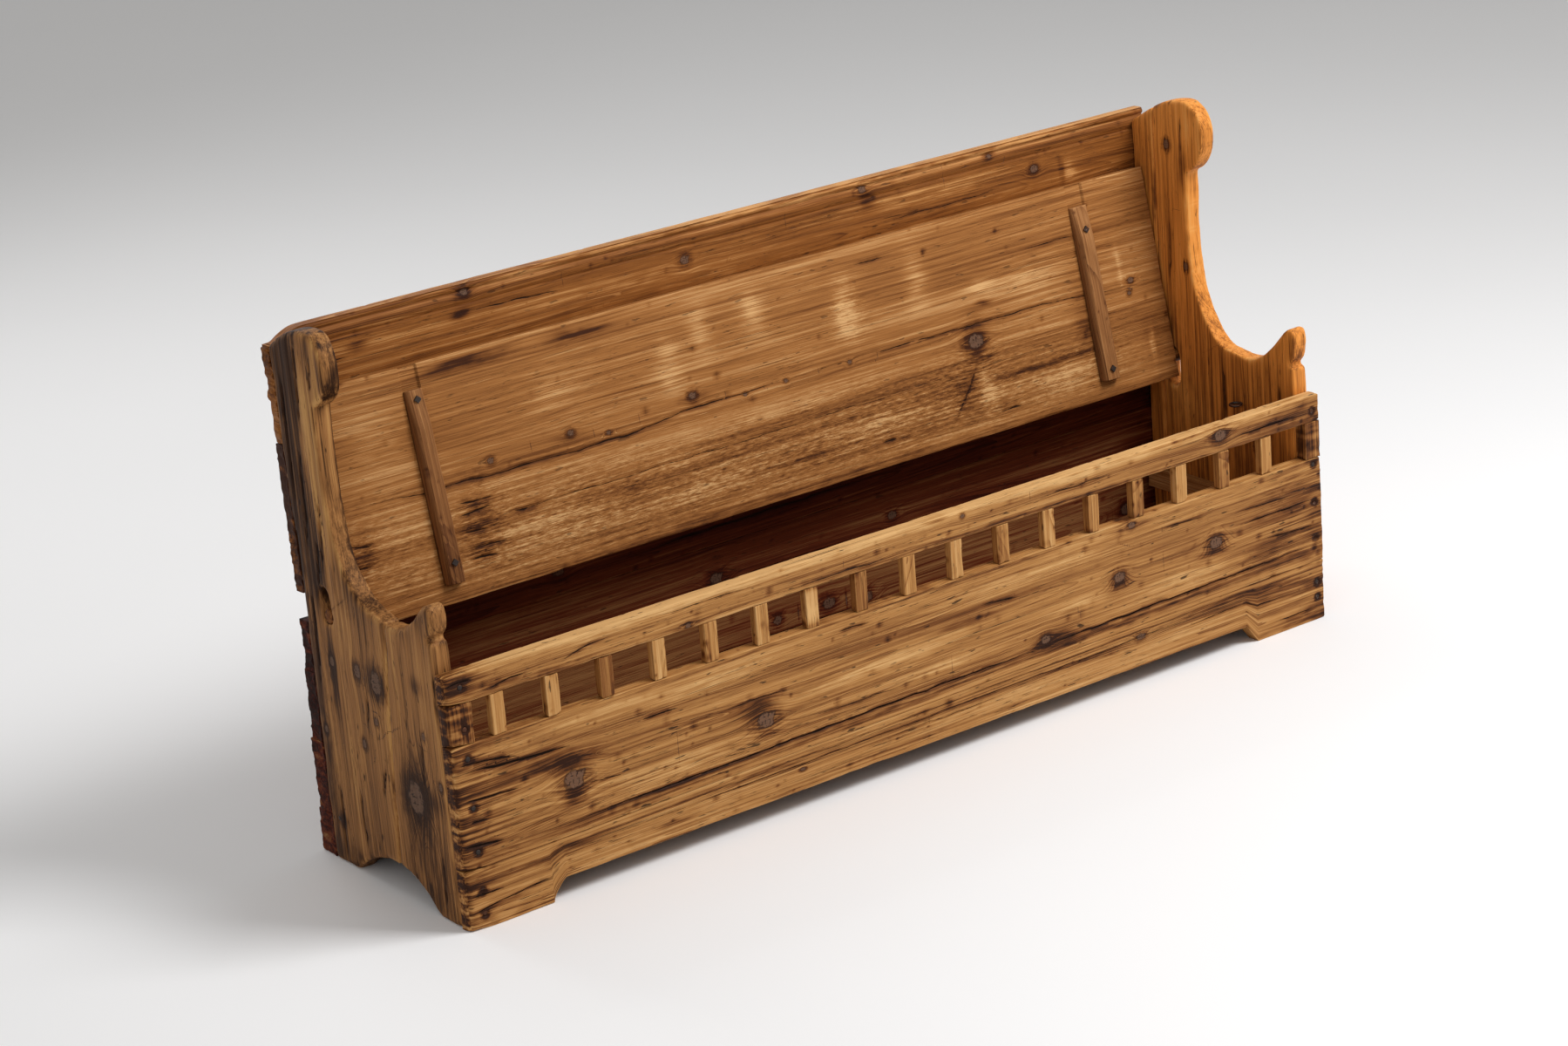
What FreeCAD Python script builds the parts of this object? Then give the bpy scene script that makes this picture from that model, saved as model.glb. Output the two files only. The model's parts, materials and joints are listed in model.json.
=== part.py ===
import FreeCAD, Part
import math
import os
import re

import Sketcher

# A settle bench: a panelled box with a hinged lid that serves as its seat.
# X runs along the bench, the front faces -Y, and Z is up.
# The origin is on the floor under the middle of the bench.

doc = FreeCAD.newDocument("SettleBench")
sheet = doc.addObject("Spreadsheet::Sheet", "Sizes")
sizes = {}
nodes = []


def size(name, value):
    """Write one driving dimension into the sheet and give it its name."""
    row = len(sizes) + 1
    sheet.set("A%d" % row, name)
    sheet.set("B%d" % row, str(value))
    sheet.setAlias("B%d" % row, name)
    sizes[name] = float(value)
    return sizes[name]


def formula(text):
    """Put the sheet's name before each size that a formula uses."""
    return re.sub(r"[a-z][a-z_0-9]+", lambda word: (
        "Sizes." + word.group() if word.group() in sizes else word.group()), text)


def bind(item, **formulas):
    """Tie properties of an object to formulas of named sizes."""
    for name, text in formulas.items():
        item.setExpression(name.replace("__", "."), formula(text))


# The whole bench
length = size("bench_length", 1800)
depth = size("bench_depth", 450)

# Side panels, each a plank on end with a horn in front and an ear behind
panel_thickness = size("panel_thickness", 34)
front_thickness = size("front_thickness", 26)
panel_rear_low = size("panel_rear_low", 407)
panel_rear_high = size("panel_rear_high", 424)
back_bend_height = size("back_bend_height", 430)
ear_rear_height = size("ear_rear_height", 851)
ear_shoulder_height = size("ear_shoulder_height", 883)
ear_shoulder_reach = size("ear_shoulder_reach", 58)
ear_drop = size("ear_drop", 52)
neck_height = size("neck_height", 776)
left_ear_depth = size("left_ear_depth", 260)
left_ear_top_depth = size("left_ear_top_depth", 326)
left_ear_top_height = size("left_ear_top_height", 893)
left_neck_depth = size("left_neck_depth", 302)
left_horn_rise = size("left_horn_rise", 59)
right_ear_depth = size("right_ear_depth", 237)
right_ear_top_depth = size("right_ear_top_depth", 306)
right_ear_top_height = size("right_ear_top_height", 903)
right_neck_depth = size("right_neck_depth", 282)
right_horn_rise = size("right_horn_rise", 70)
saddle_depth = size("saddle_depth", 142)
saddle_height = size("saddle_height", 461)
horn_depth = size("horn_depth", 21)
notch_height = size("notch_height", 463)
notch_depth = size("notch_depth", 40)
notch_width = size("notch_width", 5)
arch_rise = size("arch_rise", 50)
arch_front_depth = size("arch_front_depth", 92)
arch_rear_depth = size("arch_rear_depth", 335)
left_joint_top_depth = size("left_joint_top_depth", 163)
left_joint_floor_depth = size("left_joint_floor_depth", 207)
rear_strip_width = size("rear_strip_width", 42)

# Front: apron, wide plank, gallery of balusters and top rail
apron_height = size("apron_height", 102)
plank_height = size("plank_height", 199)
joint_drop = size("joint_drop", 3)
joint_rise = size("joint_rise", 8)
gallery_height = size("gallery_height", 67)
rail_height = size("rail_height", 48)
left_opening_height = size("left_opening_height", 35)
right_opening_height = size("right_opening_height", 34)
left_foot_width = size("left_foot_width", 153)
right_foot_width = size("right_foot_width", 162)
foot_flare = size("foot_flare", 26)
foot_curve = size("foot_curve", 8)
foot_curve_height = size("foot_curve_height", 21)
left_block_width = size("left_block_width", 45)
baluster_width = size("baluster_width", 24.5)
baluster_setback = size("baluster_setback", 1)
baluster_thickness = size("baluster_thickness", 17)
first_baluster_offset = size("first_baluster_offset", 90.5)
last_baluster_offset = size("last_baluster_offset", 127)
BALUSTERS = 17

# Back: four planks up to the lid, then three on the leaning edges of the ears
floor_plank_height = size("floor_plank_height", 74)
floor_plank_thickness = size("floor_plank_thickness", 43)
second_plank_height = size("second_plank_height", 123)
second_plank_thickness = size("second_plank_thickness", 38)
third_plank_height = size("third_plank_height", 119)
third_plank_thickness = size("third_plank_thickness", 32)
fourth_plank_height = size("fourth_plank_height", 86)
fourth_plank_thickness = size("fourth_plank_thickness", 26)
back_slot_height = size("back_slot_height", 47)
upper_back_thickness = size("upper_back_thickness", 24)
lower_back_board_height = size("lower_back_board_height", 81)
middle_back_board_height = size("middle_back_board_height", 161)
top_back_board_height = size("top_back_board_height", 178)
top_bead_height = size("top_bead_height", 12)
second_bead_height = size("second_bead_height", 18)
bead_shoulder = size("bead_shoulder", 3)
moulding_groove_width = size("moulding_groove_width", 2.5)
moulding_groove_depth = size("moulding_groove_depth", 4)

# Inside of the box
floor_board_top = size("floor_board_top", 118)
floor_board_thickness = size("floor_board_thickness", 20)
floor_board_gap = size("floor_board_gap", 3)
floor_end_gap = size("floor_end_gap", 2)
cleat_width = size("cleat_width", 20)
cleat_height = size("cleat_height", 36)
till_cleat_width = size("till_cleat_width", 15)
till_cleat_height = size("till_cleat_height", 40)
till_cleat_top = size("till_cleat_top", 209)
cleat_end_gap = size("cleat_end_gap", 5)

# Lid: one wide board on two battens, turning on round tenons in the side panels
lid_thickness = size("lid_thickness", 26)
lid_reach = size("lid_reach", 347)
lid_tail = size("lid_tail", 38)
lid_end_gap = size("lid_end_gap", 3)
lid_corner_radius = size("lid_corner_radius", 16)
lid_rest_gap = size("lid_rest_gap", 0.3)
pivot_depth = size("pivot_depth", 336)
tenon_diameter = size("tenon_diameter", 25)
tenon_clearance = size("tenon_clearance", 0.3)
tenon_recess = size("tenon_recess", 3)
left_slot_length = size("left_slot_length", 60)
right_slot_length = size("right_slot_length", 70)
left_slot_lean = size("left_slot_lean", 8)
groove_depth = size("groove_depth", 4)
batten_thickness = size("batten_thickness", 20)
batten_taper = size("batten_taper", 8)
batten_taper_length = size("batten_taper_length", 60)
batten_chamfer = size("batten_chamfer", 5)
batten_rail_gap = size("batten_rail_gap", 2)
batten_tail = size("batten_tail", 6)
left_batten_width = size("left_batten_width", 33)
left_batten_offset = size("left_batten_offset", 224)
right_batten_width = size("right_batten_width", 38)
right_batten_offset = size("right_batten_offset", 200)

# Nails
nail_head_radius = size("nail_head_radius", 4.2)
nail_head_height = size("nail_head_height", 1.6)
nail_radius = size("nail_radius", 1.8)
nail_length = size("nail_length", 56)
nail_sink = size("nail_sink", 0.8)
nail_hollow = size("nail_hollow", 1)
nail_bore_clearance = size("nail_bore_clearance", 0.05)
left_nail_inset = size("left_nail_inset", 29)
right_nail_inset = size("right_nail_inset", 17)
left_apron_low_nail = size("left_apron_low_nail", 26)
left_apron_high_nail = size("left_apron_high_nail", 68)
right_apron_low_nail = size("right_apron_low_nail", 42)
right_apron_high_nail = size("right_apron_high_nail", 70)
left_plank_low_nail = size("left_plank_low_nail", 24)
left_plank_middle_nail = size("left_plank_middle_nail", 96)
left_plank_high_nail = size("left_plank_high_nail", 176)
right_plank_low_nail = size("right_plank_low_nail", 43)
right_plank_middle_nail = size("right_plank_middle_nail", 114)
right_plank_high_nail = size("right_plank_high_nail", 187)
block_nail_height = size("block_nail_height", 25)
left_rail_nail = size("left_rail_nail", 26)
right_rail_nail = size("right_rail_nail", 20)
back_nail_edge = size("back_nail_edge", 18)
side_nail_depth = size("side_nail_depth", 379)
side_nail_height = size("side_nail_height", 76)
cleat_nail_length = size("cleat_nail_length", 44)
cleat_nail_inset = size("cleat_nail_inset", 40)
batten_nail_side = size("batten_nail_side", 9)
batten_nail_head = size("batten_nail_head", 3)
batten_nail_length = size("batten_nail_length", 32)
left_batten_rear_nail = size("left_batten_rear_nail", 28)
left_batten_front_nail = size("left_batten_front_nail", 292)
right_batten_rear_nail = size("right_batten_rear_nail", 14)
right_batten_front_nail = size("right_batten_front_nail", 266)

# Iron eye on the inner face of the right side panel
eye_radius = size("eye_radius", 10)
eye_wire = size("eye_wire", 2.4)
eye_depth = size("eye_depth", 162)
eye_height = size("eye_height", 374)
eye_shank_length = size("eye_shank_length", 30)

doc.recompute()

# Places that several pieces share, as formulas and as numbers
FRONT_Y = "(-bench_depth / 2)"
LEFT_X = "(-bench_length / 2)"
INNER_LENGTH = "(bench_length - 2 * panel_thickness)"
front_y = -depth / 2
left_x = -length / 2
right_x = length / 2
plank_top = apron_height + plank_height
joint_left = apron_height - joint_drop
joint_right = apron_height + joint_rise
gallery_top = plank_top + gallery_height
rail_top = gallery_top + rail_height
rear_y = front_y + panel_rear_low
pivot_y = front_y + pivot_depth
pivot_z = rail_top + lid_rest_gap + lid_thickness / 2
back_lean = math.atan2(panel_rear_high - panel_rear_low, ear_rear_height - back_bend_height)
X_AXIS = FreeCAD.Vector(1, 0, 0)
Y_AXIS = FreeCAD.Vector(0, 1, 0)
Z_AXIS = FreeCAD.Vector(0, 0, 1)


def vec(x, y, z):
    """A point or direction in the bench's own frame."""
    return FreeCAD.Vector(x, y, z)


def keep(item, name):
    """Give a finished piece its name and list it as a node."""
    item.Label = name
    nodes.append(item)
    return item


def block(name, x, y, z, dx, dy, dz):
    """A squared piece from its lowest corner and its three sizes, all as formulas."""
    item = doc.addObject("Part::Box", name)
    bind(item, Length=dx, Width=dy, Height=dz)
    bind(item, Placement__Base__x=x, Placement__Base__y=y, Placement__Base__z=z)
    return item


def new_body(name):
    """An empty body for sketched features."""
    return doc.addObject("PartDesign::Body", name)


def sketch_on(body, role, name, edges):
    """A sketch on one of the body's origin planes, from a list of edges."""
    sketch = body.newObject("Sketcher::SketchObject", name)
    plane = [item for item in body.Origin.OriginFeatures if item.Role == role][0]
    sketch.AttachmentSupport = (plane, "")
    sketch.MapMode = "FlatFace"
    sketch.addGeometry(edges, False)
    return sketch


def polyline(points):
    """Closed straight edges through points in a sketch's plane."""
    corners = [vec(point[0], point[1], 0) for point in points]
    following = corners[1:] + corners[:1]
    return [Part.LineSegment(start, end) for start, end in zip(corners, following)]


def smooth(points):
    """One smooth curve through points in a sketch's plane."""
    curve = Part.BSplineCurve()
    curve.interpolate([vec(point[0], point[1], 0) for point in points])
    return curve


def pad(body, sketch, thickness, backwards=False):
    """Thicken a sketch by a formula of named sizes."""
    feature = body.newObject("PartDesign::Pad", sketch.Name + "_pad")
    feature.Profile = sketch
    feature.Reversed = backwards
    bind(feature, Length=thickness)
    body.Tip = feature
    doc.recompute()
    return feature


def pocket(body, sketch, thickness, backwards=False):
    """Cut a sketch through the body, and make sure that it takes material away."""
    before = body.Shape.Volume
    feature = body.newObject("PartDesign::Pocket", sketch.Name + "_pocket")
    feature.Profile = sketch
    feature.Reversed = backwards
    bind(feature, Length=thickness)
    body.Tip = feature
    doc.recompute()
    if body.Shape.Volume >= before:
        raise RuntimeError(sketch.Name + " cuts nothing")
    return feature


def cut(name, base, tools):
    """Cut a group of loose solids out of a piece."""
    group = doc.addObject("Part::Feature", name + "_holes")
    group.Shape = Part.makeCompound(tools)
    item = doc.addObject("Part::Cut", name + "_cut")
    item.Base = base
    item.Tool = group
    doc.recompute()
    return item


# Nails: one turned form, copied to each place, and the bore that takes it
def turned(profile):
    """A solid of revolution about Z from a profile of radius and height."""
    points = [vec(radius, 0, height) for radius, height in profile]
    face = Part.Face(Part.makePolygon(points + points[:1]))
    return face.revolve(vec(0, 0, 0), Z_AXIS, 360)


def nail_form(reach):
    """A forged nail hanging from its head: low dome, head, shank and point."""
    point_length = 3 * nail_radius
    return turned([
        (0, nail_head_height * 0.3), (nail_head_radius * 0.7, 0),
        (nail_head_radius, -nail_head_height * 0.5), (nail_head_radius, -nail_head_height),
        (nail_radius, -nail_head_height), (nail_radius, point_length - reach), (0, -reach)])


def bore_form(reach):
    """The hollow round a nail's head and the hole for its shank."""
    hollow = nail_head_radius + nail_hollow
    hole = nail_radius + nail_bore_clearance
    mouth = nail_sink + nail_head_height
    return turned([
        (0, mouth), (hollow, mouth), (hollow, -nail_head_height),
        (hole, -nail_head_height), (hole, -reach - 1), (0, -reach - 1)])


def driven(form, point, direction):
    """A copy of a form set at a point, with its shank along a direction."""
    turn = FreeCAD.Rotation(vec(0, 0, -1), direction)
    return form.transformed(FreeCAD.Placement(point, turn).toMatrix(), True)


def nails(name, spots, reach):
    """A group of like nails: each spot is a point on the wood and a direction."""
    form = nail_form(reach)
    group = doc.addObject("Part::Feature", name)
    group.Shape = Part.makeCompound([
        driven(form, point + direction * nail_sink, direction) for point, direction in spots])
    return keep(group, name)


def bores(spots, reach):
    """The bores that belong to a group of nails."""
    form = bore_form(reach)
    return [driven(form, point + direction * nail_sink, direction) for point, direction in spots]


# Nail places
left_nail_x = left_x + left_nail_inset
right_nail_x = right_x - right_nail_inset
apron_nails_left = [left_apron_low_nail, left_apron_high_nail]
apron_nails_right = [right_apron_low_nail, right_apron_high_nail]
plank_nails_left = [
    apron_height + above
    for above in (left_plank_low_nail, left_plank_middle_nail, left_plank_high_nail)]
plank_nails_right = [
    apron_height + above
    for above in (right_plank_low_nail, right_plank_middle_nail, right_plank_high_nail)]
block_nails_left = [plank_top + block_nail_height]
rail_nails_left = [gallery_top + left_rail_nail]
rail_nails_right = [gallery_top + right_rail_nail]


def front_spots(nail_x, heights):
    """Nails driven straight back through the front."""
    return [(vec(nail_x, front_y, height), Y_AXIS) for height in heights]


left_front = front_spots(
    left_nail_x, apron_nails_left + plank_nails_left + block_nails_left + rail_nails_left)
right_front = front_spots(right_nail_x, apron_nails_right + plank_nails_right + rail_nails_right)
nails("front_nails", left_front + right_front, nail_length)

# Lower back planks, as pairs of bottom height and height
back_planks = [
    ("back_floor_plank", "0", "floor_plank_height", "floor_plank_thickness",
     0, floor_plank_height, floor_plank_thickness)]
second_bottom = floor_plank_height
third_bottom = second_bottom + second_plank_height
fourth_bottom = third_bottom + third_plank_height
fourth_top = fourth_bottom + fourth_plank_height
back_planks += [
    ("back_second_plank", "floor_plank_height", "second_plank_height",
     "second_plank_thickness", second_bottom, second_plank_height, second_plank_thickness),
    ("back_third_plank", "floor_plank_height + second_plank_height", "third_plank_height",
     "third_plank_thickness", third_bottom, third_plank_height, third_plank_thickness),
    ("back_fourth_plank", "floor_plank_height + second_plank_height + third_plank_height",
     "fourth_plank_height", "fourth_plank_thickness",
     fourth_bottom, fourth_plank_height, fourth_plank_thickness)]

back_nail_spots = []
nail_columns = [left_x + panel_thickness / 2, right_x - panel_thickness / 2]
for label, low, tall, thick, bottom, height, thickness in back_planks:
    spots = [
        (vec(column, rear_y + thickness, above), -Y_AXIS)
        for column in nail_columns
        for above in (bottom + back_nail_edge, bottom + height - back_nail_edge)]
    back_nail_spots += spots
    plank = block(
        label + "_blank", LEFT_X, FRONT_Y + " + panel_rear_low", low,
        "bench_length", thick, tall)
    keep(cut(label, plank, bores(spots, nail_length)), label)

# Upper back boards stand on the leaning rear edges of the side panels
lean_up = vec(0, math.sin(back_lean), math.cos(back_lean))
lean_out = vec(0, math.cos(back_lean), -math.sin(back_lean))
lean_turn = FreeCAD.Rotation(X_AXIS, -math.degrees(back_lean))
first_rise = (fourth_top + back_slot_height - back_bend_height) / math.cos(back_lean)


def lean_place(rise):
    """The corner of an upper back board at a height along the leaning edge."""
    foot = vec(left_x, rear_y, back_bend_height)
    return FreeCAD.Placement(foot + lean_up * rise, lean_turn)


def lean_spots(rise, height):
    """Nails through an upper back board into the side panels."""
    foot = vec(0, rear_y, back_bend_height)
    return [
        (foot + vec(column, 0, 0) + lean_up * above + lean_out * upper_back_thickness, -lean_out)
        for column in nail_columns
        for above in (rise + back_nail_edge, rise + height - back_nail_edge)]


rise = first_rise
for label, tall, height in (
        ("back_lower_board", "lower_back_board_height", lower_back_board_height),
        ("back_middle_board", "middle_back_board_height", middle_back_board_height)):
    board = doc.addObject("Part::Box", label + "_blank")
    bind(board, Length="bench_length", Width="upper_back_thickness", Height=tall)
    board.Placement = lean_place(rise)
    spots = lean_spots(rise, height)
    back_nail_spots += spots
    keep(cut(label, board, bores(spots, nail_length)), label)
    rise += height

# Moulded top board: two beads with a groove under each, on its front face
moulded = new_body("back_top_blank")
bead_bottom = top_back_board_height - top_bead_height
second_top = bead_bottom - moulding_groove_width
second_bottom_edge = second_top - second_bead_height
flat_top = second_bottom_edge - moulding_groove_width
groove_floor = moulding_groove_depth
bead_middle = bead_bottom + top_bead_height / 2
second_middle = second_bottom_edge + second_bead_height / 2
moulding = [
    Part.LineSegment(vec(0, 0, 0), vec(0, flat_top, 0)),
    Part.LineSegment(vec(0, flat_top, 0), vec(groove_floor, flat_top, 0)),
    Part.LineSegment(vec(groove_floor, flat_top, 0), vec(bead_shoulder, second_bottom_edge, 0)),
    Part.Arc(vec(bead_shoulder, second_bottom_edge, 0), vec(0, second_middle, 0),
             vec(bead_shoulder, second_top, 0)),
    Part.LineSegment(vec(bead_shoulder, second_top, 0), vec(groove_floor, second_top, 0)),
    Part.LineSegment(vec(groove_floor, second_top, 0), vec(groove_floor, bead_bottom, 0)),
    Part.Arc(vec(groove_floor, bead_bottom, 0), vec(0, bead_middle, 0),
             vec(groove_floor, top_back_board_height, 0)),
    Part.LineSegment(vec(groove_floor, top_back_board_height, 0),
                     vec(upper_back_thickness, top_back_board_height, 0)),
    Part.LineSegment(vec(upper_back_thickness, top_back_board_height, 0),
                     vec(upper_back_thickness, 0, 0)),
    Part.LineSegment(vec(upper_back_thickness, 0, 0), vec(0, 0, 0))]
pad(moulded, sketch_on(moulded, "YZ_Plane", "moulding", moulding), "bench_length")
moulded.Placement = lean_place(rise)
spots = lean_spots(rise, flat_top)
back_nail_spots += spots
keep(cut("back_top_board", moulded, bores(spots, nail_length)), "back_top_board")
nails("back_nails", back_nail_spots, nail_length)

# Cleats inside the box and the nails that hold them to the side panels
CLEAT_LENGTH = "(panel_rear_low - front_thickness - 2 * cleat_end_gap)"
cleat_top = floor_board_top - floor_board_thickness
cleat_low = cleat_top - cleat_height
inner_left_x = left_x + panel_thickness
inner_right_x = right_x - panel_thickness
nail_rows = [
    front_y + front_thickness + cleat_nail_inset,
    (front_y + front_thickness + rear_y) / 2,
    rear_y - 2 * cleat_nail_inset]
cleat_middle = cleat_low + cleat_height / 2
left_cleat_spots = [
    (vec(inner_left_x + cleat_width, row, cleat_middle), -X_AXIS) for row in nail_rows]
right_cleat_spots = [
    (vec(inner_right_x - cleat_width, row, cleat_middle), X_AXIS) for row in nail_rows]
till_spots = [
    (vec(inner_right_x - till_cleat_width, row, till_cleat_top - till_cleat_height / 2), X_AXIS)
    for row in nail_rows]
side_spots = [(vec(left_x, front_y + side_nail_depth, side_nail_height), X_AXIS)]
nails("cleat_nails", left_cleat_spots + right_cleat_spots + till_spots, cleat_nail_length)
nails("side_nail", side_spots, cleat_nail_length)

CLEAT_Y = FRONT_Y + " + front_thickness + cleat_end_gap"
left_cleat = block(
    "left_cleat_blank", LEFT_X + " + panel_thickness", CLEAT_Y,
    "floor_board_top - floor_board_thickness - cleat_height",
    "cleat_width", CLEAT_LENGTH, "cleat_height")
keep(cut("floor_cleat_left", left_cleat,
         bores(left_cleat_spots + side_spots, cleat_nail_length)), "floor_cleat_left")
right_cleat = block(
    "right_cleat_blank", "bench_length / 2 - panel_thickness - cleat_width", CLEAT_Y,
    "floor_board_top - floor_board_thickness - cleat_height",
    "cleat_width", CLEAT_LENGTH, "cleat_height")
keep(cut("floor_cleat_right", right_cleat,
         bores(right_cleat_spots, cleat_nail_length)), "floor_cleat_right")
till_cleat = block(
    "till_cleat_blank", "bench_length / 2 - panel_thickness - till_cleat_width", CLEAT_Y,
    "till_cleat_top - till_cleat_height",
    "till_cleat_width", CLEAT_LENGTH, "till_cleat_height")
keep(cut("till_cleat_right", till_cleat, bores(till_spots, cleat_nail_length)), "till_cleat_right")

# Floor boards of the box, resting on the cleats
FLOOR_WIDTH = "((panel_rear_low - front_thickness - 4 * floor_board_gap) / 3)"
for number, name in enumerate(("floor_board_front", "floor_board_middle", "floor_board_rear")):
    board = block(
        name, LEFT_X + " + panel_thickness + floor_end_gap",
        FRONT_Y + " + front_thickness + floor_board_gap"
        + " + %d * (%s + floor_board_gap)" % (number, FLOOR_WIDTH),
        "floor_board_top - floor_board_thickness",
        INNER_LENGTH + " - 2 * floor_end_gap", FLOOR_WIDTH, "floor_board_thickness")
    keep(board, name)

# Side panels: the curves are steps (back, up) from the points that the sizes give
NOTCH_LIP = 4
SLOPE_REACH = 65
SLOPE_SAG = 10
HORN_STEPS = [(0, -30), (1, -10), (7, -1), (17, 0), (26, -5), (36, -15), (47, -27)]
SADDLE_STEPS = [(-32, 8), (0, 0), (36, 4), (64, 10)]
NECK_STEPS = [(-39, 47), (-18, 86), (-6, 132), (1, 216)]
EAR_FOOT_STEPS = [(0, 0), (-23, 13)]
LOBE_STEPS = [(4, -32), (0, 0), (7, 26)]
EAR_TOP_STEPS = [(-41, -5), (0, 0)]
LEFT_FORM = (notch_height + left_horn_rise, left_neck_depth, left_ear_depth,
             left_ear_top_depth, left_ear_top_height)
RIGHT_FORM = (notch_height + right_horn_rise, right_neck_depth, right_ear_depth,
              right_ear_top_depth, right_ear_top_height)


def stepped(back, up, steps):
    """Points at steps from one point."""
    return [(back + step_back, up + step_up) for step_back, step_up in steps]


def side_outline(horn_height, neck_depth, ear_depth, ear_top_depth, ear_top_height):
    """The outline of a side panel: arch, horn, saddle, neck, ear and rear edge."""
    def at(back, height):
        return vec(front_y + back, height, 0)
    front = front_thickness
    arch_middle = (arch_front_depth + arch_rear_depth) / 2
    ear_middle = ear_top_height - ear_drop
    notch_mouth = (horn_depth + NOTCH_LIP, notch_height + 3 * notch_width)
    slope_middle = (horn_depth + SLOPE_REACH, (horn_height + saddle_height) / 2 - SLOPE_SAG)
    front_curve = (
        [notch_mouth] + stepped(horn_depth, horn_height, HORN_STEPS) + [slope_middle]
        + stepped(saddle_depth, saddle_height, SADDLE_STEPS)
        + stepped(neck_depth, saddle_height, NECK_STEPS) + [(neck_depth, neck_height)])
    ear_curve = (
        stepped(neck_depth, neck_height, EAR_FOOT_STEPS)
        + stepped(ear_depth, ear_middle, LOBE_STEPS)
        + stepped(ear_top_depth, ear_top_height, EAR_TOP_STEPS)
        + [(panel_rear_high - ear_shoulder_reach, ear_shoulder_height),
           (panel_rear_high, ear_rear_height)])
    return [
        Part.LineSegment(at(front, 0), at(front, notch_height)),
        Part.LineSegment(at(front, notch_height), at(notch_depth, notch_height)),
        Part.LineSegment(at(notch_depth, notch_height),
                         at(notch_depth, notch_height + notch_width)),
        Part.LineSegment(at(notch_depth, notch_height + notch_width), at(*notch_mouth)),
        smooth([at(*point) for point in front_curve]),
        smooth([at(*point) for point in ear_curve]),
        Part.LineSegment(at(panel_rear_high, ear_rear_height),
                         at(panel_rear_low, back_bend_height)),
        Part.LineSegment(at(panel_rear_low, back_bend_height), at(panel_rear_low, 0)),
        Part.LineSegment(at(panel_rear_low, 0), at(arch_rear_depth, 0)),
        Part.Arc(at(arch_rear_depth, 0), at(arch_middle, arch_rise), at(arch_front_depth, 0)),
        Part.LineSegment(at(arch_front_depth, 0), at(front, 0))]


def slot_outline(slot_length, lean, tenon_at_top):
    """A round-ended slot that holds the tenon at its top or at its bottom end."""
    radius = tenon_diameter / 2 + tenon_clearance
    run = slot_length - 2 * radius
    way = vec(math.sin(math.radians(lean)), math.cos(math.radians(lean)), 0)
    across = vec(way.y, -way.x, 0) * radius
    seat = vec(pivot_y, pivot_z, 0)
    low = seat - way * run if tenon_at_top else seat
    high = low + way * run
    return [
        Part.LineSegment(low - across, high - across),
        Part.Arc(high - across, high + way * radius, high + across),
        Part.LineSegment(high + across, low + across),
        Part.Arc(low + across, low - way * radius, low - across)]


def region(points):
    """The part of a side panel that one of its boards leaves out."""
    return polyline([(front_y + back, height) for back, height in points])


beyond = depth
over = 2 * right_ear_top_height
joint_slope = (left_joint_top_depth - left_joint_floor_depth) / saddle_height
joint_low = (left_joint_floor_depth - joint_slope * over, -over)
joint_high = (left_joint_floor_depth + joint_slope * over, over)
strip_joint = panel_rear_low - rear_strip_width
behind_left_joint = [joint_low, joint_high, (2 * beyond, over), (2 * beyond, -over)]
before_left_joint = [joint_low, joint_high, (-beyond, over), (-beyond, -over)]
behind_strip_joint = [
    (strip_joint, -over), (strip_joint, over), (2 * beyond, over), (2 * beyond, -over)]
before_strip_joint = [
    (strip_joint, -over), (strip_joint, over), (-beyond, over), (-beyond, -over)]
LEFT_SLOT = slot_outline(left_slot_length, left_slot_lean, False)
RIGHT_SLOT = slot_outline(right_slot_length, 0, True)
RIGHT_PANEL_X = "bench_length / 2 - panel_thickness"

eye_shank = Part.makeCylinder(
    eye_wire + nail_bore_clearance, eye_shank_length + 1,
    vec(inner_right_x - 1, front_y + eye_depth, eye_height), X_AXIS)
left_tools = bores(left_front + side_spots, nail_length) + bores(back_nail_spots, nail_length)
left_tools += bores(left_cleat_spots, cleat_nail_length)
right_tools = bores(right_front, nail_length) + bores(back_nail_spots, nail_length)
right_tools += bores(right_cleat_spots + till_spots, cleat_nail_length)
right_tools.append(eye_shank)


def side_board(name, panel_x, form, left_out, slot, tools):
    """One board of a side panel: the whole outline less what other boards hold."""
    body = new_body(name + "_blank")
    outline = sketch_on(body, "YZ_Plane", name + "_outline", side_outline(*form))
    pad(body, outline, "panel_thickness")
    pocket(body, sketch_on(body, "YZ_Plane", name + "_region", region(left_out)),
           "panel_thickness", True)
    if slot:
        pocket(body, sketch_on(body, "YZ_Plane", name + "_slot", slot), "panel_thickness", True)
    bind(body, Placement__Base__x=panel_x)
    doc.recompute()
    near = [tool for tool in tools if tool.BoundBox.intersect(body.Shape.BoundBox)]
    return keep(cut(name, body, near), name)


side_board("left_side_front_board", LEFT_X, LEFT_FORM, behind_left_joint, None, left_tools)
side_board("left_side_rear_board", LEFT_X, LEFT_FORM, before_left_joint, LEFT_SLOT, left_tools)
side_board("right_side_board", RIGHT_PANEL_X, RIGHT_FORM, behind_strip_joint, RIGHT_SLOT,
           right_tools)
side_board("right_side_rear_strip", RIGHT_PANEL_X, RIGHT_FORM, before_strip_joint, None,
           right_tools)

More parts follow.
